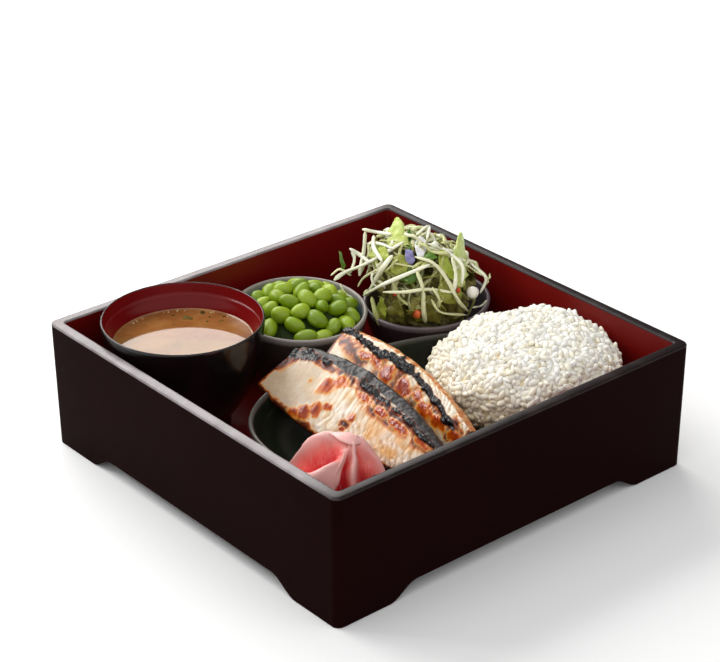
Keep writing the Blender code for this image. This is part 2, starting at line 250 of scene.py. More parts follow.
rim_lacquer = Finish("rim_lacquer")
rubbed_and_sheen = rim_lacquer.grain(14 * MM, detail=5.0)
rim_place = rim_lacquer.add("ShaderNodeSeparateXYZ", {0: rim_lacquer.place}).outputs
# Painted reflection: the rim is painted light grey on its sides towards the back and left, where it reflects
# the back light. It stays dark on the other two sides.
rim_reflection_side = rim_lacquer.add("ShaderNodeMath", {0: rim_place["Y"], 1: rim_place["X"]},
                          operation="SUBTRACT").outputs[0]
rim_reflection_side = rim_lacquer.span(rim_reflection_side, 0.0, 1.0, -4 * MM, 30 * MM)
dark_rim = rim_lacquer.mix(rim_lacquer.span(rubbed_and_sheen, 0.0, 1.0, 0.5, 0.75), tint(26, 16, 16), tint(46, 36, 36))
# This light grey is a painted reflection, not wear.
painted_reflection_rim = rim_lacquer.mix(rim_lacquer.span(rubbed_and_sheen, 0.0, 1.0, 0.4, 0.7), tint(112, 102, 104),
                           tint(142, 134, 136))
rim_lacquer.set(Base_Color=rim_lacquer.mix(rim_reflection_side, dark_rim, painted_reflection_rim),
                Specular_IOR_Level=rim_lacquer.span(rim_reflection_side, 0.16, 0.5),
                Roughness=rim_lacquer.span(rubbed_and_sheen, 0.26, 0.34, 0.3, 0.7))
rim_lacquer.bump(rim_lacquer.grain(0.9 * MM), 0.012 * MM)

red_lacquer = Finish("red_lacquer", Specular_IOR_Level=0.25)
red_cloud = red_lacquer.grain(45 * MM, detail=2.0)
red_lacquer.set(Base_Color=red_lacquer.mix(red_cloud, tint(98, 8, 6), tint(116, 12, 9)),
                Roughness=red_lacquer.span(red_lacquer.grain(7 * MM), 0.30, 0.42))
red_lacquer.bump(red_lacquer.grain(1.4 * MM), 0.012 * MM)

lacquer_box = skinned("lacquer_box", box_rings, brown_lacquer, rim_lacquer, red_lacquer, rows=box_rows)
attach(lacquer_box, "root")
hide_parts("box")

# ---------------------------------------------------------------- soup bowl
# A turned bowl, black outside and deep red inside, tucked into a corner of the box.
# A small step runs round the inside a little below its lip, where a lid would sit.
SOUP_CENTRE = (-77.5 * MM, 77.0 * MM)
BOWL_STEPS = 128
BOWL_FOOT = [(22.0, 20.3), (22.4, 15.6), (22.9, 15.3), (26.2, 15.3), (26.6, 15.7)]
BOWL_OUTSIDE = [(27.2, 24.0), (31.5, 30.0), (36.2, 37.0), (40.2, 44.5), (43.3, 52.5), (45.8, 62.0),
                (47.6, 73.0),
                (48.7, 82.0), (49.0, 87.2)]
BOWL_LIP = [(48.85, 87.7), (48.55, 87.95), (48.1, 88.0), (47.75, 87.8)]
BOWL_COLLAR = [(47.5, 87.0), (46.9, 82.4), (46.5, 81.3), (45.7, 80.8), (45.4, 80.2)]
BOWL_INSIDE = [(45.2, 79.4), (42.3, 72.3), (40.9, 65.0), (38.6, 56.5), (35.4, 49.0), (30.5, 42.5),
               (23.5, 37.5),
               (14.0, 34.6)]


def eased(outline, between=3):
    """The same outline with more points, on a smooth curve through the given ones."""
    ends = [outline[0]] + list(outline) + [outline[-1]]
    smooth = []
    for k in range(len(outline) - 1):
        before, start, stop, after = (np.array(point, float) for point in ends[k:k + 4])
        for step in range(between):
            t = step / between
            smooth.append(0.5
                          * (2 * start + (stop - before) * t
                             + (2 * before - 5 * start + 4 * stop - after) * t * t
                                 + (3 * start - before - 3 * stop + after) * t ** 3))
    return smooth + [np.array(outline[-1], float)]


def turned_rings(centre, outline, steps, lean=(0.0, 0.0), low=0.0, high=1.0):
    """Rings of a turned shape from its outline in metres; a lean raises one side of the rim."""
    angles = np.arange(steps) * 2 * math.pi / steps
    rings = []
    for radius, height in outline:
        east = radius * np.cos(angles)
        north = radius * np.sin(angles)
        rise = (height - low) / (high - low) * (lean[0] * east + lean[1] * north)
        rings.append(np.stack([centre[0] + east, centre[1] + north, height + rise], axis=1))
    return rings


def along_outline(outline):
    """For each point of an outline, its share of the way along it."""
    steps = np.linalg.norm(np.diff(np.array(outline, float), axis=0), axis=1)
    way = np.concatenate([[0.0], np.cumsum(steps)])
    return (way / way[-1])[:, None]


bowl_outline = np.array(BOWL_FOOT + list(eased(BOWL_OUTSIDE)) + BOWL_LIP + BOWL_COLLAR
                        + list(eased(BOWL_INSIDE))) * MM
bowl_way = along_outline(bowl_outline)
bowl_turn = float(bowl_way[len(BOWL_FOOT) + 3 * (len(BOWL_OUTSIDE) - 1) + 2 + len(BOWL_LIP) // 2, 0])

bowl_lacquer = Finish("bowl_lacquer")
bowl_side = bowl_lacquer.span(bowl_lacquer.own("way"), 0.0, 1.0, bowl_turn - 0.004, bowl_turn + 0.004)
bowl_red = bowl_lacquer.mix(bowl_lacquer.grain(30 * MM, detail=2.0), tint(100, 9, 11), tint(120, 14, 15))
bowl_lacquer.set(Base_Color=bowl_lacquer.mix(bowl_side, tint(14, 11, 11), bowl_red),
                 Specular_IOR_Level=bowl_lacquer.span(bowl_side, 0.5, 0.2),
                 Roughness=bowl_lacquer.span(bowl_lacquer.grain(8 * MM), 0.16, 0.24))
bowl_lacquer.bump(bowl_lacquer.grain(2.2 * MM), 0.01 * MM)

soup_bowl = skinned("soup_bowl_turned", turned_rings(SOUP_CENTRE, bowl_outline, BOWL_STEPS), bowl_lacquer,
                    way=bowl_way)
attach(soup_bowl, "root")
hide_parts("soup_bowl")

# ---------------------------------------------------------------- soup
# Cloudy miso soup: the paste hangs in it in soft clouds, and it rises a little where it wets the bowl.
# A few bits of spring onion and seaweed float at the far side, with small bubbles along the wall.
soup_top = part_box("soup")[1].z
SOUP_RISE = 0.7 * MM
SOUP_WALL = 42.45 * MM
soup_outline = [(13.0 * MM, 34.4 * MM), (23.0 * MM, 37.2 * MM), (30.4 * MM, 42.3 * MM),
                (35.5 * MM, 49.0 * MM),
                (38.8 * MM, 56.5 * MM), (41.2 * MM, 65.0 * MM), (SOUP_WALL, soup_top + SOUP_RISE)]
for k in range(1, 6):
    climb = math.exp(-1.1 * k)
    soup_outline.append((SOUP_WALL - 0.55 * MM * k, soup_top + SOUP_RISE * climb))
SOUP_RINGS = (0.88, 0.8, 0.7, 0.6, 0.48, 0.36, 0.24, 0.12, 0.04)
soup_outline += [(SOUP_WALL * share, soup_top) for share in SOUP_RINGS]

miso = Finish("miso", Roughness=0.045, IOR=1.34, Specular_IOR_Level=0.9, Subsurface_Weight=0.15,
              Subsurface_Radius=(0.004, 0.002, 0.001))
paste = miso.grain(17 * MM, detail=3.5, stretch=(1.5, 1.0, 1.0), turn=(0, 0, 0.9))
fine_paste = miso.grain(4.5 * MM, detail=3.0, shift=3.0)
miso_colour = miso.ramp(miso.sum(miso.span(paste, 0.0, 0.8), miso.span(fine_paste, 0.0, 0.25)),
                        (0.25, tint(106, 62, 28)), (0.45, tint(138, 86, 42)), (0.62, tint(152, 102, 54)),
                        (0.8, tint(166, 120, 70)))
miso_place = miso.add("ShaderNodeSeparateXYZ", {0: miso.place}).outputs
# Painted reflection: the soup is painted a paler cream on its side towards the front corner, where it
# reflects the bright back light.
painted_reflection_near = miso.span(miso.sum(miso_place["X"], miso_place["Y"], "ADD"), 1.0, 0.0, -26 * MM, 6 * MM)
miso.set(Base_Color=miso.mix(painted_reflection_near, miso_colour, tint(150, 140, 84)))
miso.bump(miso.grain(26 * MM, detail=1.0), 0.02 * MM)

soup = skinned("miso_soup", turned_rings(SOUP_CENTRE, soup_outline, BOWL_STEPS), miso)
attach(soup, "root")
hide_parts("soup")

SOUP_BITS = 10
SOUP_BUBBLES = 16
rng = np.random.default_rng(8)
points, faces, tones = [], [], []
for k in range(SOUP_BITS + SOUP_BUBBLES):
    floating = k < SOUP_BITS
    bearing = rng.normal(0.85, 0.34) if floating else rng.normal(1.1, 0.9)
    reach = rng.uniform(0.55, 0.92) if floating else rng.uniform(0.92, 0.97)
    middle = np.array((SOUP_CENTRE[0] + SOUP_WALL * reach * math.cos(bearing),
                       SOUP_CENTRE[1] + SOUP_WALL * reach * math.sin(bearing), soup_top + 0.15 * MM))
    size = rng.uniform(0.4, 1.0) ** 2 * 2.1 * MM if floating else rng.uniform(0.35, 0.7) * MM
    turn = rng.uniform(0, math.pi)
    first = len(points)
    for height, share in ((-0.4, 0.7), (0.0, 1.0), (0.25 if floating else 0.8, 0.6)):
        for i in range(7):
            angle = 2 * math.pi * i / 7
            east = size * share * math.cos(angle) * (1.6 if floating else 1.0) * rng.uniform(0.8, 1.1)
            north = size * share * math.sin(angle)
            points.append(middle + (east * math.cos(turn) - north * math.sin(turn),
                                    east * math.sin(turn) + north * math.cos(turn),
                                    height * min(size, 0.7 * MM)))
    faces += [(first + low + i, first + low + (i + 1) % 7, first + low + 7 + (i + 1) % 7, first + low + 7 + i)
              for low in (0, 7) for i in range(7)]
    faces += [tuple(first + 14 + i for i in range(7)), tuple(first + i for i in reversed(range(7)))]
    tones += [rng.uniform(0.0, 0.5) if floating else 1.0] * 21
herb_bits = Finish("soup_herbs", Roughness=0.65, Specular_IOR_Level=0.1)
herb_bits.set(Base_Color=herb_bits.ramp(herb_bits.own("tone"), (0.0, tint(52, 44, 16)),
                                        (0.3, tint(94, 80, 32)),
                                        (0.55, tint(120, 104, 52)), (0.9, tint(214, 188, 150))))
herb_bits.bump(herb_bits.grain(0.8 * MM), 0.05 * MM)
floating_data = bpy.data.meshes.new("soup_herbs")
floating_data.from_pydata([tuple(point) for point in points], [], faces)
floating_data.materials.append(herb_bits.material)
floating_data.attributes.new("tone", "FLOAT", "POINT").data.foreach_set("value", tones)
floating_data.shade_smooth()
soup_herbs = bpy.data.objects.new("soup_herbs", floating_data)
bpy.context.scene.collection.objects.link(soup_herbs)
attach(soup_herbs, "root")

# ---------------------------------------------------------------- bean dish
# A small round stoneware dish on a foot ring, in a dark glaze that breaks pale on its lip
# and is painted blue-grey inside, a painted reflection on its inner wall. It leans a little against its
# neighbours.
DISH_STEPS = 112
DISH_FOOT_RADIUS = 19.0 * MM
DISH_FOOT_HEIGHT = 4.0 * MM
DISH_WALL = 2.6 * MM
DISH_FLOOR = 4.5 * MM
DISH_SWEEP = math.radians(62)
STAND = BOX_FLOOR + 0.3 * MM
BEAN_DISH = {"centre": (12.0 * MM, 77.6 * MM), "radius": 42.3 * MM, "rim": 65.0 * MM, "lean": (0.0, 0.055)}
SALAD_DISH = {"centre": (86.6 * MM, 42.8 * MM), "radius": 40.4 * MM, "rim": 61.0 * MM, "lean": (0.05, 0.0)}


def dish_curve(dish, share, inset, lift):
    """A point on a small dish's round side: share 0 at the foot ring, 1 at the rim."""
    base = STAND + DISH_FOOT_HEIGHT
    angle = DISH_SWEEP * share
    reach = math.sin(angle) / math.sin(DISH_SWEEP)
    rise = (1 - math.cos(angle)) / (1 - math.cos(DISH_SWEEP))
    radius = DISH_FOOT_RADIUS + (dish["radius"] - DISH_FOOT_RADIUS) * reach - inset
    return radius, base + lift + (dish["rim"] - base - lift) * rise


def dish_outline(dish):
    """From under the foot ring, up the outside, over a rounded lip, and down the inside."""
    foot = DISH_FOOT_RADIUS
    outline = [(foot - 5 * MM, STAND + 2.5 * MM), (foot - 4 * MM, STAND), (foot - 0.8 * MM, STAND),
               (foot - 0.4 * MM, STAND + 0.4 * MM)]
    outline += [dish_curve(dish, k / 14, 0.0, 0.0) for k in range(14)]
    for k in range(7):
        bend = math.pi * k / 6
        outline.append((dish["radius"] - DISH_WALL / 2 + DISH_WALL / 2 * math.cos(bend),
                        dish["rim"] - DISH_WALL / 2 * (1 - math.sin(bend))))
    outline += [dish_curve(dish, 0.95 * (1 - k / 14), DISH_WALL, DISH_FLOOR) for k in range(15)]
    return outline


def dish_glaze(name, lip_share, outside, lip, inside, deep):
    """A dark glaze that breaks pale along the lip and runs from one shade to another inside."""
    glaze = Finish(name, Specular_IOR_Level=0.4)
    way = glaze.sum(glaze.own("way"), glaze.span(glaze.grain(7 * MM), 0.0, 0.012))
    colour = glaze.ramp(way, (0.0, outside), (lip_share - 0.045, outside), (lip_share - 0.022, lip),
                        (lip_share + 0.022, lip), (lip_share + 0.05, inside), (1.0, deep))
    speck = glaze.span(glaze.grain(1.3 * MM, detail=2.0), 0.0, 0.55, 0.60, 0.72)
    glaze.set(Base_Color=glaze.mix(speck, colour, tint(70, 62, 58)),
              Roughness=glaze.span(glaze.grain(5 * MM), 0.24, 0.38))
    glaze.bump(glaze.grain(2.6 * MM, detail=3.0), 0.03 * MM)
    return glaze


bean_outline = dish_outline(BEAN_DISH)
bean_way = along_outline(bean_outline)
lip_share = float(bean_way[4 + 14 + 3, 0])
# Painted reflection: the blue-grey given for the inside stands in for a reflection on the inner wall.
bean_glaze = dish_glaze("bean_dish_glaze", lip_share, tint(66, 56, 50), tint(150, 142, 136),
                        tint(96, 118, 124),
                        tint(52, 60, 62))
bean_dish = skinned("bean_dish_glazed",
                    turned_rings(BEAN_DISH["centre"], bean_outline, DISH_STEPS, BEAN_DISH["lean"],
                                                     STAND, BEAN_DISH["rim"]), bean_glaze, way=bean_way)
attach(bean_dish, "root")
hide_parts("bean_dish")

# ---------------------------------------------------------------- salad dish
# The bean dish's smaller twin, in a violet-grey glaze that is darker outside and breaks pale on its lip.
salad_outline = dish_outline(SALAD_DISH)
salad_way = along_outline(salad_outline)
lip_share = float(salad_way[4 + 14 + 3, 0])
salad_glaze = dish_glaze("salad_dish_glaze", lip_share, tint(48, 36, 38), tint(104, 92, 96), tint(74, 66, 72),
                         tint(40, 34, 38))
salad_dish = skinned("salad_dish_glazed", turned_rings(SALAD_DISH["centre"], salad_outline, DISH_STEPS,
                                                       SALAD_DISH["lean"], STAND, SALAD_DISH["rim"]),
                     salad_glaze, way=salad_way)
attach(salad_dish, "root")
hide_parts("salad_dish")

# ---------------------------------------------------------------- plate
# An oval stoneware plate with a low foot and an upturned edge, in a glossy green-black glaze.
PLATE_CENTRE = (5.0 * MM, -50.0 * MM)
PLATE_HALF = (109.0 * MM, 73.0 * MM)
PLATE_POWER = 2.3
PLATE_TURN = math.radians(-10)
PLATE_STEPS = 180
PLATE_FOOT = [(42.0, 19.0), (41.3, 15.6), (40.8, 15.3), (37.3, 15.3), (36.8, 15.7)]
PLATE_OUTSIDE = [(35.5, 20.0), (22.0, 24.5), (10.0, 34.5), (3.0, 46.0), (0.5, 53.0), (0.0, 55.0)]
PLATE_LIP = [(0.2, 55.6), (0.7, 56.0), (1.3, 56.0), (2.0, 55.7)]
PLATE_INSIDE = [(2.6, 55.0), (4.4, 51.0), (8.0, 43.5), (15.0, 36.0), (26.0, 31.0), (40.0, 29.0), (60.0, 28.8)]


def oval_ring(inset, height):
    """The plate's outline, drawn in by an inset; between an ellipse and a rectangle."""
    angles = np.arange(PLATE_STEPS) * 2 * math.pi / PLATE_STEPS
    across = np.cos(angles)
    deep = np.sin(angles)
    x = (PLATE_HALF[0] - inset) * np.sign(across) * np.abs(across) ** (2 / PLATE_POWER)
    y = (PLATE_HALF[1] - inset) * np.sign(deep) * np.abs(deep) ** (2 / PLATE_POWER)
    cos, sin = math.cos(PLATE_TURN), math.sin(PLATE_TURN)
    return np.stack([PLATE_CENTRE[0] + x * cos - y * sin, PLATE_CENTRE[1] + x * sin + y * cos,
                     np.full(PLATE_STEPS, height)], axis=1)


plate_outline = np.array(PLATE_FOOT + list(eased(PLATE_OUTSIDE)) + PLATE_LIP + list(eased(PLATE_INSIDE))) * MM
plate_way = along_outline(plate_outline)
plate_lip = float(plate_way[len(PLATE_FOOT) + 3 * (len(PLATE_OUTSIDE) - 1) + 2, 0])

plate_glaze = Finish("plate_glaze", Specular_IOR_Level=0.2)
# Painted reflection: a pale grey band painted round the lip stands in for the light's reflection on it.
reflection_inner_edge = plate_glaze.span(plate_glaze.own("way"), 1.0, 0.0, plate_lip + 0.004, plate_lip + 0.03)
reflection_outer_edge = plate_glaze.span(plate_glaze.own("way"), 0.0, 1.0, plate_lip - 0.03, plate_lip - 0.004)
painted_plate_reflection = plate_glaze.sum(reflection_inner_edge, reflection_outer_edge, "MULTIPLY")
green_cloud = plate_glaze.mix(plate_glaze.grain(24 * MM), tint(17, 20, 15), tint(28, 33, 23))
plate_glaze.set(Base_Color=plate_glaze.mix(painted_plate_reflection, green_cloud, tint(84, 80, 74)),
                Roughness=plate_glaze.span(plate_glaze.grain(8 * MM), 0.14, 0.26))
plate_glaze.bump(plate_glaze.grain(3.5 * MM), 0.03 * MM)

plate = skinned("plate_glazed", [oval_ring(inset, height) for inset, height in plate_outline], plate_glaze,
                way=plate_way)
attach(plate, "root")
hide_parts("plate")

# ---------------------------------------------------------------- soya beans
# Shelled green soya beans, boiled: plump ovals with one side a little flatter, no two of quite the same size.
# They lie in the dish as they settled, over a dark core that shows only as shadow between them.
BEAN_COUNT = 35
BEAN_HALF = (6.2 * MM, 7.9 * MM)
BEAN_WIDTH = 0.70
BEAN_DEPTH = 0.66
BEAN_AROUND = 18
BEAN_ROWS = 13
BEAN_CORE_TOP = 73.5 * MM
BEAN_CORE_FALL = 19.0 * MM
BEAN_LEAN = (-1.5 * MM, -2.3 * MM)
BEAN_MARGIN = 2.0 * MM
BEAN_ROOM = 0.76
BEAN_SPREAD = 27 * MM
BEAN_DROP = (74, 120)
BEAN_SETTLING = 320


def placed(name, points, faces, finish, **attributes):
    """A smooth piece from its points and faces, with named values for its points."""
    data = bpy.data.meshes.new(name)
    data.from_pydata(list(map(tuple, points)), [], list(map(tuple, faces)))
    data.materials.append(finish.material)
    for key, values in attributes.items():
        data.attributes.new(key, "FLOAT", "POINT").data.foreach_set("value", np.asarray(values, float))
    data.shade_smooth()
    piece = bpy.data.objects.new(name, data)
    bpy.context.scene.collection.objects.link(piece)
    return piece


def round_form(around, rows):
    """Points and faces of a unit ball with its poles along X."""
    points = [(-1.0, 0.0, 0.0)]
    for k in range(1, rows):
        bend = math.pi * k / rows
        for i in range(around):
            turn = 2 * math.pi * i / around
            points.append((-math.cos(bend), math.sin(bend) * math.cos(turn), math.sin(bend) * math.sin(turn)))
    points.append((1.0, 0.0, 0.0))
    last = len(points) - 1
    faces = []
    for i in range(around):
        j = (i + 1) % around
        faces.append((0, 1 + j, 1 + i))
        for k in range(rows - 2):
            low = 1 + k * around
            faces.append((low + i, low + j, low + around + j, low + around + i))
        faces.append((last, last - around + i, last - around + j))
    return np.array(points), faces


def heap_core(outline_dish, crown, fall, clear):
    """Outline of a low mound that fills a dish up to a crown height, drawn in from its wall."""
    outline = [dish_curve(outline_dish, share, DISH_WALL + clear, DISH_FLOOR)
               for share in (0.0, 0.3, 0.55, 0.75, 0.9)]
    reach = outline[-1][0]
    edge = max(outline[-1][1], crown - fall)
    return outline + [(reach * share, edge + (crown - edge) * (1 - share * share)) for share in
                      (0.97, 0.88, 0.75, 0.6, 0.42, 0.22, 0.05)]


rng = np.random.default_rng(23)
heap_middle = np.array(BEAN_DISH["centre"]) + BEAN_LEAN
bean_halves = rng.uniform(*BEAN_HALF, BEAN_COUNT)
bean_room = bean_halves * BEAN_ROOM
spread = rng.uniform(0, 1, BEAN_COUNT) ** 0.5 * BEAN_SPREAD
bearing = rng.uniform(0, 2 * math.pi, BEAN_COUNT)
spots = np.stack([heap_middle[0] + spread * np.cos(bearing), heap_middle[1] + spread * np.sin(bearing),
                  rng.uniform(*BEAN_DROP, BEAN_COUNT) * MM], axis=1)
for step in range(BEAN_SETTLING):
    spots[:, 2] -= 0.5 * MM
    for _ in range(3):
        apart = spots[:, None] - spots[None]
        distance = np.linalg.norm(apart, axis=2) + np.eye(BEAN_COUNT)
        overlap = np.clip(bean_room[:, None] + bean_room[None] - distance, 0, None)
        np.fill_diagonal(overlap, 0)
        spots += (apart / distance[:, :, None] * overlap[:, :, None]).sum(1) * 0.35
        flat = spots[:, :2] - heap_middle
        out = np.linalg.norm(flat, axis=1)
        room = BEAN_DISH["radius"] - DISH_WALL - bean_room - BEAN_MARGIN
        spots[:, :2] = heap_middle + flat * np.minimum(1, room / np.maximum(out, 1e-6))[:, None]
        share = (np.linalg.norm(flat, axis=1) / (BEAN_DISH["radius"] - DISH_WALL)) ** 2
        ground = BEAN_CORE_TOP - BEAN_CORE_FALL * share + BEAN_DISH["lean"][1] * flat[:, 1] + 0.42 * bean_room
        spots[:, 2] = np.maximum(spots[:, 2], ground)

ball, ball_faces = round_form(BEAN_AROUND, BEAN_ROWS)
points, faces, tones, seams = [], [], [], []
for k in range(BEAN_COUNT):
    form = ball * (1.0, BEAN_WIDTH, BEAN_DEPTH)
    fat = 1 + rng.uniform(-0.12, 0.12) * ball[:, 0]
    form[:, 1:] *= fat[:, None]
    form[:, 1] += 0.10 * (ball[:, 0] ** 2 - 0.4)
    spun = Matrix.Rotation(rng.uniform(0, 2 * math.pi), 3, "Z")
    tipped = Matrix.Rotation(rng.normal(0, 0.42), 3, "Y")
    rolled = Matrix.Rotation(rng.uniform(0, 2 * math.pi), 3, "X")
    turn = spun @ tipped @ rolled
    faces += [[corner + len(points) for corner in face] for face in ball_faces]
    points += list(form @ np.array(turn).T * bean_halves[k] + spots[k])
    tones += [rng.uniform()] * len(form)
    seams += list(np.exp(-((ball[:, 2] / 0.13) ** 2)) * (ball[:, 1] < 0) * (np.abs(ball[:, 0]) < 0.5))

bean_skin = Finish("bean_skin", Specular_IOR_Level=0.45, Subsurface_Weight=0.2,
                   Subsurface_Radius=(0.002, 0.003, 0.0006))
bean_tone = bean_skin.sum(bean_skin.span(bean_skin.own("tone"), 0.0, 0.7),
                          bean_skin.span(bean_skin.grain(5 * MM), 0.0, 0.3))
bean_colour = bean_skin.ramp(bean_tone, (0.1, tint(104, 134, 8)), (0.5, tint(134, 160, 20)),
                             (0.9, tint(160, 182, 46)))
bean_skin.set(Base_Color=bean_skin.mix(bean_skin.span(bean_skin.own("seam"), 0.0, 0.5), bean_colour,
                                       tint(168, 190, 92)),
              Roughness=bean_skin.span(bean_skin.grain(2 * MM), 0.30, 0.42))
bean_skin.bump(bean_skin.grain(1.1 * MM, detail=2.0), 0.02 * MM)
soya_beans = placed("soya_beans_loose", points, faces, bean_skin, tone=tones, seam=seams)
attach(soya_beans, "root")
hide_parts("soya_beans")

bean_shadow = Finish("bean_shadow", Roughness=0.6, Specular_IOR_Level=0.2)
bean_shadow.set(Base_Color=bean_shadow.mix(bean_shadow.grain(5 * MM), tint(24, 36, 4), tint(44, 60, 8)))
bean_shadow.bump(bean_shadow.cells(9 * MM), 2.0 * MM)
bean_core_outline = heap_core(BEAN_DISH, BEAN_CORE_TOP, BEAN_CORE_FALL, 0.3 * MM)
bean_core = skinned("soya_bean_core", turned_rings(BEAN_DISH["centre"], bean_core_outline, 48,
                                                   BEAN_DISH["lean"], STAND, BEAN_DISH["rim"]), bean_shadow)
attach(bean_core, "root")

# ---------------------------------------------------------------- rice
# Steamed short-grain rice turned out as one broad heap. The grains stick together: most lie flat on
# the heap, some stand up from it, and the core under them has the same lumps at a larger size.
GRAIN_LENGTH = 8.0 * MM
GRAIN_WIDTH = 4.1 * MM
GRAIN_SPACING = 3.0 * MM
RICE_INSET = 0.6 * MM
RICE_VOXEL = 1.5 * MM
RICE_SLUMP = 6.0 * MM
RICE_SLUMP_TOWARDS = (-0.765, 0.644, 0.0)
RICE_REACH = 59.0 * MM
RICE_FOOT = 40.0 * MM
RICE_LUMP = 3.4 * MM


def heap_of(name, node, inset, voxel, lump, lump_size):
    """A finely meshed copy of a CAD heap, drawn in by an inset and made lumpy."""
    work = bpy.data.objects.new(name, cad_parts[node].data.copy())
    bpy.context.scene.collection.objects.link(work)
    merged = bmesh.new()
    merged.from_mesh(work.data)
    bmesh.ops.remove_doubles(merged, verts=merged.verts, dist=0.01 * MM)
    bmesh.ops.recalc_face_normals(merged, faces=merged.faces)
    merged.to_mesh(work.data)
    merged.free()
    remesh = work.modifiers.new("even", "REMESH")
    remesh.mode = "VOXEL"
    remesh.voxel_size = voxel
    rounding = work.modifiers.new("rounding", "SMOOTH")
    rounding.factor = 0.5
    rounding.iterations = 12
    data = bpy.data.meshes.new_from_object(work.evaluated_get(bpy.context.evaluated_depsgraph_get()))
    work.modifiers.clear()
    work.data = data
    count = len(data.vertices)
    place = np.zeros(count * 3)
    data.vertices.foreach_get("co", place)
    place = place.reshape(-1, 3)
    normals = np.array([vertex.normal for vertex in data.vertices])
    raised = np.array([noise.noise(Vector(point / lump_size)) for point in place]) * lump - inset
    data.vertices.foreach_set("co", (place + normals * raised[:, None]).ravel())
    data.materials.clear()
    data.update()
    data.shade_smooth()
    return work


def grain_tree(name, length, width, spacing, finish):
    """Scatters plump grains over the upper side of a mesh, most lying flat and some standing up."""
    tree = bpy.data.node_groups.new(name, "GeometryNodeTree")
    face = tree.interface
    face.new_socket("Geometry", in_out="INPUT", socket_type="NodeSocketGeometry")
    sizes = {"Length": length, "Width": width, "Spacing": spacing, "Lowest": 0.0}
    for key, value in sizes.items():
        face.new_socket(key, in_out="INPUT", socket_type="NodeSocketFloat").default_value = value
    face.new_socket("Geometry", in_out="OUTPUT", socket_type="NodeSocketGeometry")

    def step(kind, inputs=(), **settings):
        made = tree.nodes.new(kind)
        for key, value in settings.items():
            setattr(made, key, value)
        for key, value in dict(inputs).items():
            if isinstance(value, bpy.types.NodeSocket):
                tree.links.new(value, made.inputs[key])
            else:
                made.inputs[key].default_value = value
        return made

    given = step("NodeGroupInput").outputs
    height = step("ShaderNodeSeparateXYZ", {0: step("GeometryNodeInputPosition").outputs[0]}).outputs["Z"]
    upper = step("FunctionNodeCompare", {0: height, 1: given["Lowest"]}, operation="GREATER_THAN").outputs[0]
    scatter = step("GeometryNodeDistributePointsOnFaces",
                   {"Mesh": given["Geometry"], "Selection": upper, "Distance Min": given["Spacing"],
                    "Density Max": 1.0e7, "Seed": 5}, distribute_method="POISSON")
    ball = step("GeometryNodeMeshUVSphere", {"Segments": 7, "Rings": 6, "Radius": 0.5})
    half = step("ShaderNodeMath", {0: given["Width"], 1: 0.86}, operation="MULTIPLY").outputs[0]
    form = step("ShaderNodeCombineXYZ", {0: half, 1: given["Width"], 2: given["Length"]}).outputs[0]
    grain = step("GeometryNodeTransform", {"Geometry": ball.outputs[0], "Scale": form,
                                           "Rotation": (0.0, math.pi / 2, 0.0)}).outputs[0]

    def chance(low, high, seed, kind="FLOAT"):
        made = step("FunctionNodeRandomValue", {"Seed": seed}, data_type=kind)
        pair = (0, 1) if kind == "FLOAT_VECTOR" else (2, 3)
        made.inputs[pair[0]].default_value = low
        made.inputs[pair[1]].default_value = high
        return made.outputs[0 if kind == "FLOAT_VECTOR" else 1]

    lean = step("ShaderNodeMath", {0: step("ShaderNodeMath", {0: chance(0.0, 1.0, 3), 1: 2.2},
                                           operation="POWER").outputs[0], 1: 1.15},
                operation="MULTIPLY").outputs[0]
    spin = step("ShaderNodeCombineXYZ", {1: lean, 2: chance(0.0, 2 * math.pi, 4)}).outputs[0]
    turn = step("FunctionNodeRotateRotation", {0: scatter.outputs["Rotation"],
                                               1: step("FunctionNodeEulerToRotation", {0: spin}).outputs[0]},
                rotation_space="LOCAL").outputs[0]
    many = step("GeometryNodeInstanceOnPoints",
                {"Points": scatter.outputs["Points"], "Instance": grain, "Rotation": turn,
                 "Scale": chance((0.84, 0.88, 0.88), (1.12, 1.12, 1.12), 7, "FLOAT_VECTOR")}).outputs[0]
    shift = step("ShaderNodeCombineXYZ", {2: chance(-0.7 * MM, 1.0 * MM, 9)}).outputs[0]
    many = step("GeometryNodeTranslateInstances", {"Instances": many, "Translation": shift}).outputs[0]
    toned = step("GeometryNodeStoreNamedAttribute", {"Geometry": many, "Name": "tone"}, domain="INSTANCE",
                 data_type="FLOAT")
    tree.links.new(chance(0.0, 1.0, 12), toned.inputs["Value"])
    real = step("GeometryNodeRealizeInstances", {0: toned.outputs[0]}).outputs[0]
    smooth = step("GeometryNodeSetShadeSmooth", {"Geometry": real}).outputs[0]
    done = step("GeometryNodeSetMaterial", {"Geometry": smooth, "Material": finish.material}).outputs[0]
    tree.links.new(done, step("NodeGroupOutput").inputs[0])
    return tree


def grown(name, base, tree, **sizes):
    """A plain mesh of what a tree makes on a base piece."""
    work = bpy.data.objects.new(name, base.data)
    bpy.context.scene.collection.objects.link(work)
    modifier = work.modifiers.new("grown", "NODES")
    modifier.node_group = tree
    for item in tree.interface.items_tree:
        if item.in_out == "INPUT" and item.name in sizes:
            modifier[item.identifier] = sizes[item.name]
    data = bpy.data.meshes.new_from_object(work.evaluated_get(bpy.context.evaluated_depsgraph_get()))
    work.modifiers.clear()
    work.data = data
    return work


rice_grain = Finish("rice_grain", Roughness=0.3, Specular_IOR_Level=0.45, Subsurface_Weight=0.45,
                    Subsurface_Radius=(0.0024, 0.0022, 0.0019))
rice_tone = rice_grain.sum(rice_grain.span(rice_grain.own("tone"), 0.0, 0.6),
                           rice_grain.span(rice_grain.grain(16 * MM), 0.0, 0.4))
painted_bounce_height = rice_grain.add("ShaderNodeSeparateXYZ", {0: rice_grain.place}).outputs["Z"]
rice_colour = rice_grain.ramp(rice_tone, (0.1, tint(240, 232, 210)), (0.5, tint(247, 243, 230)),
                              (0.9, tint(252, 250, 243)))
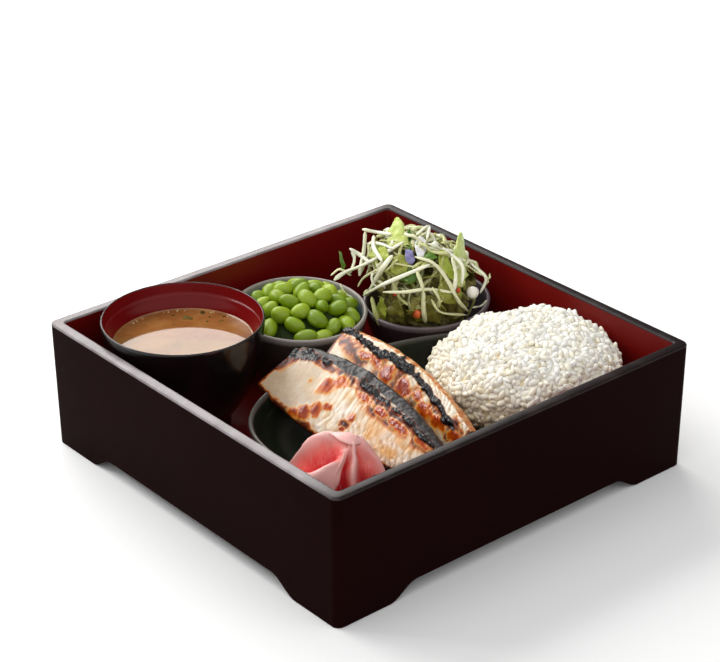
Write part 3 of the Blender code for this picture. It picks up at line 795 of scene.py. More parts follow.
# Painted bounce light: the grains are painted warmer towards the foot of the heap, for light thrown up from
# the red box.
rice_grain.set(Base_Color=rice_grain.mix(rice_grain.span(painted_bounce_height, 0.7, 0.0, 42 * MM, 80 * MM), rice_colour,
                                         tint(244, 220, 166)))
rice_core_finish = Finish("rice_core_finish", Roughness=0.5, Specular_IOR_Level=0.3)
rice_shade = rice_core_finish.grain(6 * MM)
# The core is rice, but it is painted a warmer cream than the grains so the gaps between them show painted
# warm light where shade would fall.
rice_core_finish.set(Base_Color=rice_core_finish.mix(rice_shade, tint(250, 228, 176), tint(253, 240, 206)))
rice_core_finish.bump(rice_core_finish.cells(3.2 * MM, stretch=(1, 1, 1.6)), 0.9 * MM)

rice_core = heap_of("rice_core", "rice", RICE_INSET, RICE_VOXEL, RICE_LUMP, 15 * MM)
rice_core.data.materials.append(rice_core_finish.material)
rice_middle = (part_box("rice")[0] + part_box("rice")[1]) / 2
for vertex in rice_core.data.vertices:
    away = (vertex.co - rice_middle).dot(Vector(RICE_SLUMP_TOWARDS)) / RICE_REACH
    vertex.co.z -= RICE_SLUMP * min(max(away + 0.4, 0.0),
                                    1.4) ** 1.2 * min(max((vertex.co.z - RICE_FOOT) / RICE_FOOT, 0.0), 1.0)
rice_core.data.update()
grains = grain_tree("rice_grains", GRAIN_LENGTH, GRAIN_WIDTH, GRAIN_SPACING, rice_grain)
rice = grown("rice_grains_loose", rice_core, grains, Length=GRAIN_LENGTH, Width=GRAIN_WIDTH,
             Spacing=GRAIN_SPACING,
             Lowest=36 * MM)
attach(rice_core, "root")
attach(rice, "root")
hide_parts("rice")

# ---------------------------------------------------------------- grilled fish
# Two fillets of white fish, grilled under a sweet soy glaze, that lean on each other across the plate.
# The flesh face flakes across its length; the high side has dark skin on one fillet and a browned edge on
# the other, with char where the flame caught it and wet glaze pooled in the hollows.
FISH_ALONG = 230
FISH_AROUND = 150
FISH_TAPER = 0.72
FISH_CAP = (0.03, 0.3, 0.55, 0.74, 0.88, 0.96)
FISH_CAP_BULGE = 1.8 * MM
FLAKE_PITCH = 5.0 * MM
FISH_FRONT = {"low": ((-63, 25, 62), (-45, -99, 47), (-6, 0, -9)),
              "high": ((-25, 26, 73), (-32, -101, 62), (6, 0, 8)), "thick": 15.0, "belly": 10.0, "skin": 0.64}
FISH_BACK = {"low": ((-24, 19, 60), (-17, -98, 46), (-7, 0, -8)),
             "high": ((0, 19, 79), (-9, -100, 62), (7, 0, 7)), "thick": 14.0, "belly": 10.0, "skin": 0.9}


def arc(ends, share):
    """Points along a shallow arc, from its two ends and how far its middle stands off."""
    start, stop, bulge = (np.array(value, float) * MM for value in ends)
    share = np.asarray(share, float)[..., None]
    return start + (stop - start) * share + bulge * 4 * share * (1 - share)


def unit(vectors):
    return vectors / np.linalg.norm(vectors, axis=-1, keepdims=True)


def rough(places, size, seed=0.0):
    """Soft random values from -1 to 1 at places, in lumps of a size."""
    flat = np.asarray(places, float).reshape(-1, 3) / size + seed
    return np.array([noise.noise(Vector(place)) for place in flat]).reshape(np.shape(places)[:-1])


def ease(values, low, high):
    """0 below low, 1 above high, with a soft passage between."""
    share = np.clip((values - low) / (high - low), 0, 1)
    return share * share * (3 - 2 * share)


def fillet_shape(fillet):
    """The plain fillet: points, share along, place across (1 is high) and side."""
    capped = np.array(FISH_CAP)
    steps = np.concatenate([capped * 0, np.linspace(0, 1, FISH_ALONG), capped * 0 + 1])
    drawn = np.concatenate([capped, np.ones(FISH_ALONG), capped[::-1]])[:, None]
    angles = (np.arange(FISH_AROUND) + 0.5) * 2 * math.pi / FISH_AROUND
    share, angle = np.meshgrid(steps, angles, indexing="ij")
    low, high = arc(fillet["low"], share), arc(fillet["high"], share)
    along = unit(arc(fillet["low"], share + 0.02) - arc(fillet["low"], share - 0.02))
    width = high - low
    face = unit(np.cross(along, width))
    end = np.minimum(1.0, np.minimum(share, 1 - share) * 8)
    swell = FISH_TAPER + (1 - FISH_TAPER) * np.sin(end * math.pi / 2)
    across = np.sign(np.cos(angle)) * np.abs(np.cos(angle)) ** 0.55
    side = np.sign(np.sin(angle)) * np.abs(np.sin(angle)) ** 0.55
    thick = (fillet["belly"] + (fillet["thick"] - fillet["belly"]) * (across + 1) / 2) * MM * swell
    middle = low + width / 2 - face * (fillet["thick"] + fillet["belly"]) / 4 * MM
    inward = (across / 2 * (0.94 + 0.06 * swell))[..., None]
    outward_by = (side * thick / 2)[..., None]
    points = middle + width * inward + face * outward_by
    bulge = np.sqrt(np.clip(1 - drawn ** 2, 0, 1)) * FISH_CAP_BULGE * np.where(share < 0.5, -1, 1)
    points = middle + (points - middle) * drawn[..., None] + along * bulge[..., None]
    return points, share, across * drawn, side


def outward(points):
    """Directions that point away from a closed row of rings."""
    around = np.roll(points, -1, axis=1) - np.roll(points, 1, axis=1)
    along = np.gradient(points, axis=0)
    normal = np.cross(along, around)
    middle = points.mean(axis=1, keepdims=True)
    flip = np.sign(((points - middle) * normal).sum(axis=(1, 2)))
    flip[flip == 0] = 1
    length = np.linalg.norm(normal, axis=-1, keepdims=True)
    return normal / np.maximum(length, 1e-12) * flip[:, None, None]


def marked(share, across, ragged, spots):
    """How strongly each point is marked by soft spots, each given by its place and its reach."""
    strength = np.zeros_like(share)
    for along, over, length, width in spots:
        reach = ((share - along) / length) ** 2 + ((across - over) / width) ** 2
        strength = np.maximum(strength, ease(1.0 - reach + ragged * 1.7, -1.1, 1.3))
    return strength


def streak(share, across, ragged, line, half):
    """How strongly each point is marked by a ragged streak along a line of (share, across) points."""
    stops, places = zip(*line)
    off = np.abs(across - np.interp(share, stops, places)) / half
    ends = ease(share, stops[0] - 0.03, stops[0]) * (1 - ease(share, stops[-1], stops[-1] + 0.03))
    return ease(1.0 - off + ragged * 1.3, -0.5, 0.5) * ends


def grilled(name, fillet, seed, finish, char_spots, char_line, char_half, glaze_spots, brown_spots,
            gold_spots, flaky_from):
    """A fillet with its flakes, char and glaze raised, and a named value for each kind of surface."""
    points, share, across, side = fillet_shape(fillet)
    across = (across + 1) * 2 / (1 + fillet["skin"]) - 1
    broad = rough(points, 14 * MM, seed)
    ragged = (rough(points, 6.5 * MM, seed + 3) * 0.9 + rough(points, 3.0 * MM, seed + 7) * 0.5
              + rough(points, 1.4 * MM, seed + 5) * 0.3)
    fine = rough(points, 1.1 * MM, seed + 9)
    face = ease(side, 0.0, 0.5)
    skin = np.maximum(ease(across + ragged * 0.07, 1.0, 1.05), ease(-side, 0.0, 0.3)
                      * ease(across, -0.9, -0.6))
    char = np.maximum(marked(share, across, ragged, char_spots),
                      streak(share, across, ragged, char_line, char_half))
    char *= ease(side, -0.75, -0.2)
    glaze = marked(share, across, ragged * 0.75, glaze_spots) * face * (1 - skin)
    rim = np.maximum(ease(-across + ragged * 0.10, 0.84, 1.0),
                     ease(np.abs(share - 0.5) + ragged * 0.012, 0.482, 0.5))
    brown = np.maximum(marked(share, across, ragged, brown_spots) * face, rim) * (1 - 0.6 * skin)
    gold = marked(share, across, ragged + broad, gold_spots) * face
    flow = share * 122 * MM / FLAKE_PITCH + across * 1.6 + broad * 2.0 + ragged * 0.55
    flake = np.abs(np.sin(flow * math.pi)) ** 0.55
    fibre = rough(np.stack([share * 122 * MM, across * 5 * MM, side * 6 * MM], axis=-1), 1.0 * MM, seed + 13)
    flaky = ease(share, flaky_from, flaky_from + 0.3) * face * (1 - skin) * (1 - glaze)
    raised = (broad * 0.5 + ragged * 0.22 + flaky * ((flake - 0.7) * 0.95 + fibre * 0.28)
              + (1 - flaky) * face * fibre * 0.08 + glaze * 0.35
              + char * (0.9 + 1.6 * ragged + 1.2 * fine) + skin * (ragged * 0.35 + fine * 0.12)
              - brown * 0.15)
    points = points + outward(points) * (raised * MM)[..., None]
    piece = skinned(name, points, finish, sharp=180.0, skin=skin, char=char, glaze=glaze, brown=brown,
                    gold=gold,
                    crack=flaky * (1 - flake), fresh=1 - ease(share, flaky_from - 0.15, flaky_from + 0.2))
    return piece


def fish_finish(name, fresh, skin_dark, skin_light, skin_gloss):
    """Pale flesh with cracks, golden and browned parts, amber glaze, skin and char, where the piece says."""
    fish = Finish(name, Specular_IOR_Level=0.5, Subsurface_Weight=0.12,
                  Subsurface_Radius=(0.003, 0.0018, 0.001))
    cloud = fish.grain(7 * MM, detail=4.0)
    streaks = fish.grain(1.6 * MM, detail=3.0, stretch=(2.5, 1.0, 2.5), turn=(0, 0, 0.25))
    flesh = fish.mix(fish.span(cloud, 0, 1, 0.35, 0.7), tint(240, 232, 216), tint(226, 198, 154))
    flesh = fish.mix(fish.span(streaks, 0.0, 0.6, 0.5, 0.72), flesh, tint(248, 242, 228))
    smooth = fish.mix(cloud, fresh, tint(206, 184, 156))
    flesh = fish.mix(fish.own("fresh"), flesh, smooth)
    # Painted shade: the cracks between the flakes are painted a darker gold.
    flesh = fish.mix(fish.span(fish.own("crack"), 0.0, 0.75, 0.1, 0.9), flesh, tint(196, 150, 92))
    flesh = fish.mix(fish.span(fish.own("gold"), 0.0, 0.8), flesh, tint(226, 170, 84))
    toast = fish.ramp(fish.sum(fish.own("brown"), fish.span(cloud, -0.15, 0.25), "ADD"),
                      (0.15, tint(232, 178, 104)),
                      (0.45, tint(206, 126, 54)), (0.7, tint(158, 74, 26)), (0.98, tint(82, 30, 14)))
    flesh = fish.mix(fish.span(fish.own("brown"), 0.0, 1.0, 0.02, 0.4), flesh, toast)
    pool = fish.sum(fish.own("glaze"),
                    fish.span(fish.grain(3.5 * MM, detail=2.0, shift=2.0), -0.14, 0.14, 0.3, 0.7))
    sauce = fish.ramp(pool, (0.12, tint(236, 196, 132)), (0.4, tint(220, 142, 54)), (0.68, tint(192, 82, 10)),
                      (1.0, tint(142, 44, 6)))
    flesh = fish.mix(fish.span(fish.own("glaze"), 0.0, 1.0, 0.05, 0.45), flesh, sauce)
    scales = fish.span(fish.grain(3.0 * MM, detail=4.0, shift=5.0), 0.0, 1.0, 0.44, 0.64)
    flesh = fish.mix(fish.own("skin"), flesh, fish.mix(scales, skin_dark, skin_light))
    burnt = fish.ramp(fish.own("char"), (0.05, tint(176, 92, 40)), (0.3, tint(92, 34, 16)),
                      (0.5, tint(26, 18, 18)),
                      (0.9, tint(18, 16, 20)))
    flesh = fish.mix(fish.span(fish.own("char"), 0.0, 1.0, 0.03, 0.25), flesh, burnt)
    dry = fish.span(fish.grain(2.4 * MM, shift=7.0), 0.2, 0.42, 0.3, 0.7)
    dry = fish.add("ShaderNodeMix", {0: fish.own("glaze"), 2: dry, 3: 0.07}).outputs[0]
    dry = fish.add("ShaderNodeMix", {0: fish.own("skin"), 2: dry, 3: skin_gloss}).outputs[0]
    dry = fish.add("ShaderNodeMix", {0: fish.own("char"), 2: dry, 3: 0.24}).outputs[0]
    fish.set(Base_Color=flesh, Roughness=dry)
    fish.bump(fish.grain(0.8 * MM, detail=2.0), 0.08 * MM)
    return fish


front_finish = fish_finish("fish_front_finish", tint(188, 160, 128), tint(22, 18, 17), tint(62, 58, 58), 0.38)
fish_front = grilled(
    "fish_fillet_front", FISH_FRONT, 4.0, front_finish,
    char_spots=[(0.0, 0.9, 0.06, 0.3), (0.08, 0.95, 0.06, 0.2), (0.2, 1.0, 0.03, 0.1),
                (0.58, 0.93, 0.03, 0.07),
                (0.65, 0.95, 0.025, 0.08), (0.9, 0.9, 0.06, 0.10)],
    char_line=[(0.46, 1.0), (1.0, 0.97)], char_half=0.09,
    glaze_spots=[(0.355, 0.70, 0.035, 0.20), (0.31, 0.40, 0.04, 0.22), (0.275, 0.12, 0.03, 0.14),
                 (0.24, -0.88, 0.035, 0.2), (0.29, -0.66, 0.04, 0.22), (0.33, -0.40, 0.035, 0.2),
                 (0.38, -0.14, 0.025, 0.12), (0.21, 0.26, 0.014, 0.06), (0.52, -0.07, 0.02, 0.09),
                 (0.51, -0.45, 0.016, 0.07), (0.52, 0.66, 0.06, 0.12), (0.64, 0.62, 0.04, 0.13),
                 (0.78, 0.58, 0.07, 0.14), (0.92, 0.62, 0.05, 0.16)],
    brown_spots=[(0.0, 0.5, 0.05, 0.7), (0.24, 0.88, 0.14, 0.12), (0.45, 0.95, 0.2, 0.12),
                 (0.7, 0.85, 0.3, 0.2), (0.58, 0.6, 0.10, 0.2), (0.76, 0.5, 0.1, 0.22),
                 (0.9, 0.55, 0.08, 0.3), (0.26, -0.95, 0.12, 0.14), (0.51, -0.3, 0.03, 0.12),
                 (0.99, -0.2, 0.03, 0.8)],
    gold_spots=[(0.66, 0.0, 0.08, 0.3), (0.78, -0.4, 0.08, 0.22), (0.58, -0.6, 0.07, 0.2),
                (0.86, 0.2, 0.06, 0.25),
                (0.44, 0.5, 0.05, 0.12)], flaky_from=0.22)
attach(fish_front, "root")
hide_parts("fish_front")

back_finish = fish_finish("fish_back_finish", tint(244, 236, 214), tint(196, 112, 48), tint(220, 178, 122),
                          0.42)
fish_back = grilled(
    "fish_fillet_back", FISH_BACK, 11.0, back_finish,
    char_spots=[(0.0, 0.98, 0.04, 0.14), (0.30, 0.74, 0.03, 0.12), (0.86, 0.48, 0.04, 0.16)],
    char_line=[(0.0, 0.98), (0.12, 0.84), (0.24, 0.74), (0.38, 0.83), (0.51, 0.84), (0.66, 0.78),
               (0.78, 0.66),
               (0.9, 0.42)], char_half=0.10,
    glaze_spots=[(0.22, 0.5, 0.05, 0.14), (0.30, 0.45, 0.04, 0.2), (0.40, 0.40, 0.05, 0.26),
                 (0.53, 0.36, 0.05, 0.27),
                 (0.63, 0.45, 0.03, 0.15), (0.71, 0.2, 0.05, 0.24), (0.82, 0.15, 0.05, 0.24),
                 (0.94, 0.1, 0.04, 0.3)],
    brown_spots=[(0.10, 0.56, 0.09, 0.3), (0.22, 0.3, 0.05, 0.35), (0.34, 0.35, 0.05, 0.4),
                 (0.46, 0.4, 0.06, 0.35),
                 (0.60, 0.35, 0.06, 0.35), (0.76, 0.3, 0.07, 0.35), (0.92, 0.2, 0.06, 0.5)],
    gold_spots=[(0.15, 0.3, 0.07, 0.3), (0.34, 0.0, 0.1, 0.2), (0.55, 0.0, 0.1, 0.2), (0.8, -0.1, 0.1, 0.3)],
    flaky_from=0.12)
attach(fish_back, "root")
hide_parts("fish_back")

# ---------------------------------------------------------------- pickled ginger
# Thin slices of pink pickled ginger, gathered at the top into one loose bunch and spread over the plate.
# Each slice is one soft closed sheet: pale along its folded lips, deeper pink where it lies in its own shade.
GINGER_CENTRE = (-86 * MM, -78 * MM)
GINGER_TURN = math.radians(-40.1)
GINGER_THICK = 1.5 * MM
GINGER_RIPPLE = 0.9 * MM
GINGER_FINE = 7
GINGER_CORE_HALF = (11 * MM, 9 * MM, 10 * MM)
GINGER_CORE_PLACE = (3 * MM, -4 * MM, 54 * MM)
GINGER_SLICES = (
    (((4, 1, 77, .1), (4, 5, 73, .5), (5, 8, 73, .3), (2, 14, 63, .1), (-5, 22, 47, .3)),
     ((-4, -2, 78, .0), (-5, 4, 66, .8), (-4, 9, 63, 1.), (-3, 14, 67, .0), (-7, 22, 47, .3)),
     ((-12, -1, 77, .0), (-12, 4, 62, .75), (-11, 9, 56, 1.), (-10, 16, 64, .0), (-12, 22, 46, .2)),
     ((-19, 1, 73, .0), (-18, 4, 60, .6), (-18, 8, 55, .9), (-17, 14, 61, .0), (-18, 18, 46, .3)),
     ((-27, 2, 62, .0), (-26, 3, 57, .3), (-26, 5, 56, .4), (-26, 7, 59, .1), (-27, 9, 46, .4))),
    (((4, 7, 74, .0), (-2, 17, 61, .0), (-5, 23, 47, .2)),
     ((5, 4, 71, .6), (1, 12, 59, .9), (0, 14, 46, 1.)),
     ((6, 3, 72, .7), (4, 11, 59, 1.), (5, 14, 46, 1.)),
     ((8, 5, 76, .0), (8, 15, 61, .1), (9, 21, 47, .2)),
     ((9, 2, 74, .4), (11, 9, 59, .8), (13, 12, 46, .9)),
     ((10, 0, 74, .2), (16, 4, 62, .5), (20, 9, 46, .7)),
     ((9, -3, 77, .0), (18, -2, 69, .1), (27, 4, 52, .1))),
    (((9, -2, 77, .0), (19, -2, 68, .1), (27, 3, 52, .2)),
     ((6, -5, 76, .1), (14, -12, 64, .4), (22, -14, 46, .5)),
     ((-2, -5, 77, .2), (0, -15, 63, .5), (4, -22, 46, .6)),
     ((-12, -4, 76, .1), (-14, -12, 62, .3), (-12, -21, 46, .5)),
     ((-20, -2, 71, .2), (-24, -7, 58, .4), (-28, -10, 46, .6))),
    (((-27, 4, 60, .0), (-28, 7, 53, .2), (-29, 8, 45, .4)),
     ((-22, 8, 58, .5), (-23, 12, 52, .7), (-24, 14, 45, .8)),
     ((-18, 13, 59, .0), (-19, 17, 53, .0), (-20, 19, 45, .3)),
     ((-13, 15, 56, .5), (-14, 18, 51, .6), (-14, 20, 45, .7)),
     ((-9, 19, 59, .1), (-9, 22, 52, .1), (-9, 24, 45, .3))),
    (((5, 1, 76, .2), (3, 6, 68, .8), (2, 10, 58, 1.)),
     ((7, 2, 77, .0), (6, 7, 68, .2), (5, 10, 58, .6)),
     ((8, 0, 75, .4), (9, 4, 67, .8), (9, 8, 58, 1.))),
    (((-17, -9, 70, .2), (-16, -5, 74, .1), (-15, -2, 75, .0)),
     ((-6, -9, 73, .2), (-6, -4, 77, .0), (-6, -1, 78, .0)),
     ((2, -9, 73, .2), (2, -2, 78, .0), (2, 5, 76, .0)), ((9, -9, 72, .2), (8, -2, 77, .0), (7, 6, 74, .1)),
     ((15, -9, 68, .3), (14, -4, 73, .1), (12, 2, 73, .1))),
    (((-24, -2, 60, .1), (-24, 2, 53, .3)), ((-16, -4, 66, .4), (-17, 1, 57, .5)),
     ((-8, -5, 70, .5), (-9, 1, 58, .8)),
     ((0, -4, 72, .3), (-1, 3, 62, .9))),
)


def curved(stops, count):
    """Points on a smooth curve through the given stops."""
    stops = np.asarray(stops, float)
    ends = np.concatenate([stops[:1] * 2 - stops[1:2], stops, stops[-1:] * 2 - stops[-2:-1]])
    share = np.linspace(0, len(stops) - 1 - 1e-9, count)
    k = share.astype(int)
    t = (share - k).reshape((-1,) + (1,) * (stops.ndim - 1))
    a, b, c, d = ends[k], ends[k + 1], ends[k + 2], ends[k + 3]
    return 0.5 * (2 * b + (c - a) * t + (2 * a - 5 * b + 4 * c - d) * t * t
                  + (3 * b - a - 3 * c + d) * t ** 3)


def sheet(grid, thick):
    """Points and faces of a thin closed sheet whose middle runs through a grid of points."""
    rows, columns = grid.shape[:2]
    normal = unit(np.cross(np.gradient(grid, axis=0), np.gradient(grid, axis=1)) + 1e-12)
    edge = np.minimum.outer(np.minimum(np.arange(rows), np.arange(rows)[::-1]),
                            np.minimum(np.arange(columns), np.arange(columns)[::-1]))
    half = (thick / 2 * np.minimum(1.0, 0.45 + 0.3 * edge))[..., None]
    points = np.concatenate([(grid + normal * half).reshape(-1, 3), (grid - normal * half).reshape(-1, 3)])
    below = rows * columns
    faces = []
    for i in range(rows - 1):
        for j in range(columns - 1):
            a, b = i * columns + j, (i + 1) * columns + j
            faces.append((a, b, b + 1, a + 1))
            faces.append((below + a, below + a + 1, below + b + 1, below + b))
    loop = ([i * columns for i in range(rows)] + [(rows - 1) * columns + j for j in range(1, columns)]
            + [i * columns + columns - 1 for i in range(rows - 2, -1, -1)] + list(range(columns - 2, 0, -1)))
    for a, b in zip(loop, loop[1:] + loop[:1]):
        faces.append((b, a, below + a, below + b))
    return points, faces


def facing(turn, centre):
    """Axes of a heap that is turned on its centre: across, towards the front, and up."""
    across = np.array((math.cos(turn), math.sin(turn), 0.0))
    front = np.array((math.sin(turn), -math.cos(turn), 0.0))
    return np.array((across, front, (0.0, 0.0, 1.0))), np.array((*centre, 0.0))


axes, origin = facing(GINGER_TURN, GINGER_CENTRE)
points, faces, deeps, lips = [], [], [], []
for number, net in enumerate(GINGER_SLICES):
    net = np.asarray(net, float)
    across = curved(net, GINGER_FINE * len(net))
    grid = np.swapaxes(curved(np.swapaxes(across, 0, 1), GINGER_FINE * net.shape[1]), 0, 1)
    place = grid[..., :3] * MM @ axes + origin
    drift = np.stack([rough(place, 9 * MM, number + shift) for shift in (0.0, 40.0, 80.0)], axis=-1)
    made, quads = sheet(place + drift * GINGER_RIPPLE * 1.6, GINGER_THICK)
    faces += [[corner + len(points) for corner in quad] for quad in quads]
    points += list(made)
    deeps += list(grid[..., 3].ravel()) * 2
    fringe = np.minimum.outer(np.minimum(np.arange(grid.shape[0]), np.arange(grid.shape[0])[::-1]),
                              np.minimum(np.arange(grid.shape[1]), np.arange(grid.shape[1])[::-1]))
    lips += list(np.clip(1 - fringe.ravel() / 3, 0, 1)) * 2

pink = Finish("ginger_slice", Specular_IOR_Level=0.4, Subsurface_Weight=0.15,
              Subsurface_Radius=(0.003, 0.001, 0.0008))
fibres = pink.grain(1.4 * MM, detail=3.0, stretch=(1, 1, 6))
depth = pink.sum(pink.own("deep"), pink.span(pink.grain(8 * MM), -0.12, 0.12), "ADD")
flush = pink.ramp(depth, (0.05, tint(255, 196, 189)), (0.3, tint(253, 156, 147)), (0.6, tint(248, 106, 98)),
                  (0.95, tint(218, 44, 52)))
flush = pink.mix(pink.span(fibres, 0.0, 0.28, 0.5, 0.75), flush, tint(255, 196, 188))
pink.set(Base_Color=pink.mix(pink.span(pink.own("lip"), 0.0, 0.6), flush, tint(255, 190, 182)),
         Roughness=pink.span(pink.grain(3 * MM), 0.28, 0.42))
pink.bump(fibres, 0.12 * MM)
ginger = placed("ginger_slices", points, faces, pink, deep=deeps, lip=lips)
ginger_shade = Finish("ginger_shade", Roughness=0.5)
ginger_shade.set(Base_Color=ginger_shade.mix(ginger_shade.grain(6 * MM), tint(196, 48, 50),
                                             tint(214, 74, 72)))
ball, ball_faces = round_form(20, 12)
core_points = (ball * GINGER_CORE_HALF + GINGER_CORE_PLACE) @ axes + origin
ginger_core = placed("ginger_core", core_points, ball_faces, ginger_shade)
for piece in (ginger, ginger_core):
    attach(piece, "root")
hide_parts("ginger")

# ---------------------------------------------------------------- salad
# A loose heap of shredded cabbage and radish over leaves, in its dish: thick pale strands that cross on top,
# a few lettuce and herb leaves between them, one small purple flower, and shade further in.
SALAD_CENTRE = (84 * MM, 45 * MM, 80 * MM)
SALAD_TURN = math.radians(-40.1)
SALAD_TILT = math.radians(27)
STRAND_SIDES = 6
STRAND_STEPS = 18
STRAND_LIFT = 1.2 * MM
STRANDS = (
    (2.4, .95, ((-55, -6), (-48, -1), (-32, 5), (-11, 15))),
    (2.3, .90, ((-35, -16), (-23, -10), (-7, -3), (5, 2))),
    (2.0, .80, ((-23, -12), (-10, -15), (3, -13), (18, -15))),
    (2.3, .75, ((-3, -1), (-1, -13), (0, -25), (2, -35))),
    (2.2, .78, ((-4, 7), (7, 2), (15, -8), (21, -19), (27, -27))),
    (2.8, 1.0, ((-37, 26), (-27, 24), (-18, 21))),
    (2.2, .95, ((-35, 25), (-36, 12), (-36, -3))),
    (2.4, .95, ((-45, 14), (-37, 9), (-31, 5))),
    (2.0, .90, ((-43, 13), (-42, 6), (-45, -2))),
    (3.0, .85, ((-18, 7), (-24, 0), (-30, -13))),
    (2.0, .92, ((12, 11), (18, 8), (23, 0), (23, -10))),
    (1.8, .95, ((-4, 19), (4, 25), (3, 18))),
    (1.7, .85, ((30, -22), (37, -23), (41, -19))),
    (1.6, .80, ((-51, -8), (-48, -14), (-43, -17))),
    (1.4, .75, ((-57, -3), (-51, 1), (-44, -3))),
    (1.8, .70, ((5, -19), (12, -24), (26, -29))),
    (2.0, .90, ((-28, 20), (-28, 12), (-24, 4))),
    (1.8, .92, ((-34, 17), (-26, 16), (-17, 12))),
    (2.2, .60, ((-29, -17), (-27, -25), (-24, -33))),
    (1.9, .70, ((6, -12), (10, -20), (7, -30))),
    (2.0, .85, ((17, 6), (20, -4), (18, -14))),
    (1.7, .75, ((-40, -10), (-34, -4), (-26, 0))),
)
FILLERS = 190
FILLER_SPAN = (14, 30)
SALAD_CORE_INSET = 9.0 * MM


def strand(stops, width, turn):
    """Points and faces of a flattened strand along a curve, narrower at its two ends."""
    line = curved(stops, STRAND_STEPS)
    ahead = unit(np.gradient(line, axis=0))
    side = unit(np.cross(ahead, np.array((math.cos(turn) * 0.4, math.sin(turn) * 0.4, 1.0))))
    over = np.cross(ahead, side)
    share = np.linspace(0, 1, STRAND_STEPS)
    tapered = np.minimum(1, 0.35 + 7 * np.minimum(share, 1 - share))
    girth = width / 2 * tapered * (1 + 0.10 * np.sin(share * 9 + turn))
    angles = np.arange(STRAND_SIDES) * 2 * math.pi / STRAND_SIDES
    rings = (line[:, None] + side[:, None] * (np.cos(angles)[None, :, None] * girth[:, None, None])
             + over[:, None] * (np.sin(angles)[None, :, None] * girth[:, None, None] * 0.62))
    faces = [(k * STRAND_SIDES + i, k * STRAND_SIDES + (i + 1) % STRAND_SIDES,
              (k + 1) * STRAND_SIDES + (i + 1) % STRAND_SIDES,
              (k + 1) * STRAND_SIDES + i) for k in range(STRAND_STEPS - 1) for i in range(STRAND_SIDES)]
    last = (STRAND_STEPS - 1) * STRAND_SIDES
    faces += [tuple(range(STRAND_SIDES))[::-1], tuple(range(last, last + STRAND_SIDES))]
    return rings.reshape(-1, 3), faces


axes, origin = facing(SALAD_TURN, (0.0, 0.0))
sight = -axes[1] * math.cos(SALAD_TILT) - axes[2] * math.sin(SALAD_TILT)
upright = axes[2] * math.cos(SALAD_TILT) - axes[1] * math.sin(SALAD_TILT)
heap_tree = bvhtree.BVHTree.FromObject(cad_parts["salad"], bpy.context.evaluated_depsgraph_get())


def on_heap(across, up, lift):
    """The place on the salad's surface that shows at an across and up distance, raised by a lift."""
    middle = np.array(SALAD_CENTRE) + axes[0] * across * MM + upright * up * MM
    hit, normal, _, _ = heap_tree.ray_cast(Vector(middle - sight * 0.2), Vector(sight))
    if hit is None:
        return middle
    return np.array(hit) + np.array(normal) * lift


rng = np.random.default_rng(41)
points, faces, tones, deeps = [], [], [], []


def lay(made, quads, tone, deep):
    global points, faces, tones, deeps
    faces += [[corner + len(points) for corner in quad] for quad in quads]
    points += list(made)
    tones += [tone] * len(made)
    deeps += [deep] * len(made)


for width, tone, stops in STRANDS:
    line = [on_heap(across, up, STRAND_LIFT + rng.uniform(0, 2.5) * MM) for across, up in stops]
    lay(*strand(line, width * 1.35 * MM, rng.uniform(0, 6)), tone, 0.0)
for k in range(FILLERS):
    bearing, reach = rng.uniform(0, 2 * math.pi), rng.uniform(0, 1) ** 0.6
    sunk = rng.uniform(0, 8.5)
    top = np.array(SALAD_CENTRE) + np.array((math.cos(bearing), math.sin(bearing), 0)) * reach * 36 * MM
    top[2] = 0.0
    hit, normal, _, _ = heap_tree.ray_cast(Vector((top[0], top[1], 0.2)), Vector((0, 0, -1)))
    if hit is None:
        continue
    start = np.array(hit)
    heading = unit(np.cross(np.array(normal), rng.normal(0, 1, 3)))
    line = [start]
    for _ in range(5):
        heading = unit(heading + rng.normal(0, 0.32, 3))
        near, normal, _, _ = heap_tree.find_nearest(Vector(line[-1]
                                                           + heading * rng.uniform(*FILLER_SPAN) / 4 * MM))
        heading = unit(heading - np.array(normal) * (heading @ np.array(normal)))
        line.append(np.array(near))
    lifted = []
    for place in line:
        near, normal, _, _ = heap_tree.find_nearest(Vector(place))
        lifted.append(place + np.array(normal) * (rng.uniform(-1.5, 2.0) - sunk) * MM)
    # Painted shade: strands sunk deeper into the heap get a lower tone and a higher deep value, so they are
    # painted darker.
    lay(*strand(lifted, rng.uniform(1.7, 3.2) * MM, rng.uniform(0, 6)),
        rng.uniform(0.55, 1.0) * (1 - sunk / 26), sunk / 12)

shred = Finish("salad_shred", Specular_IOR_Level=0.45, Subsurface_Weight=0.25,
               Subsurface_Radius=(0.002, 0.002, 0.001))
veins = shred.grain(2.6 * MM, detail=3.0)
paint = shred.ramp(shred.sum(shred.own("tone"), shred.span(veins, -0.14, 0.14), "ADD"),
                   (0.30, tint(112, 104, 46)),
                   (0.52, tint(172, 176, 92)), (0.72, tint(216, 216, 166)), (0.9, tint(236, 236, 212)))
# Painted shade: the deep value mixes a strand towards dark olive.
shred.set(Base_Color=shred.mix(shred.span(shred.own("deep"), 0.0, 0.75), paint, tint(96, 88, 36)),
          Roughness=0.32)
shred.bump(veins, 0.15 * MM)
strands = placed("salad_strands", points, faces, shred, tone=tones, deep=deeps)

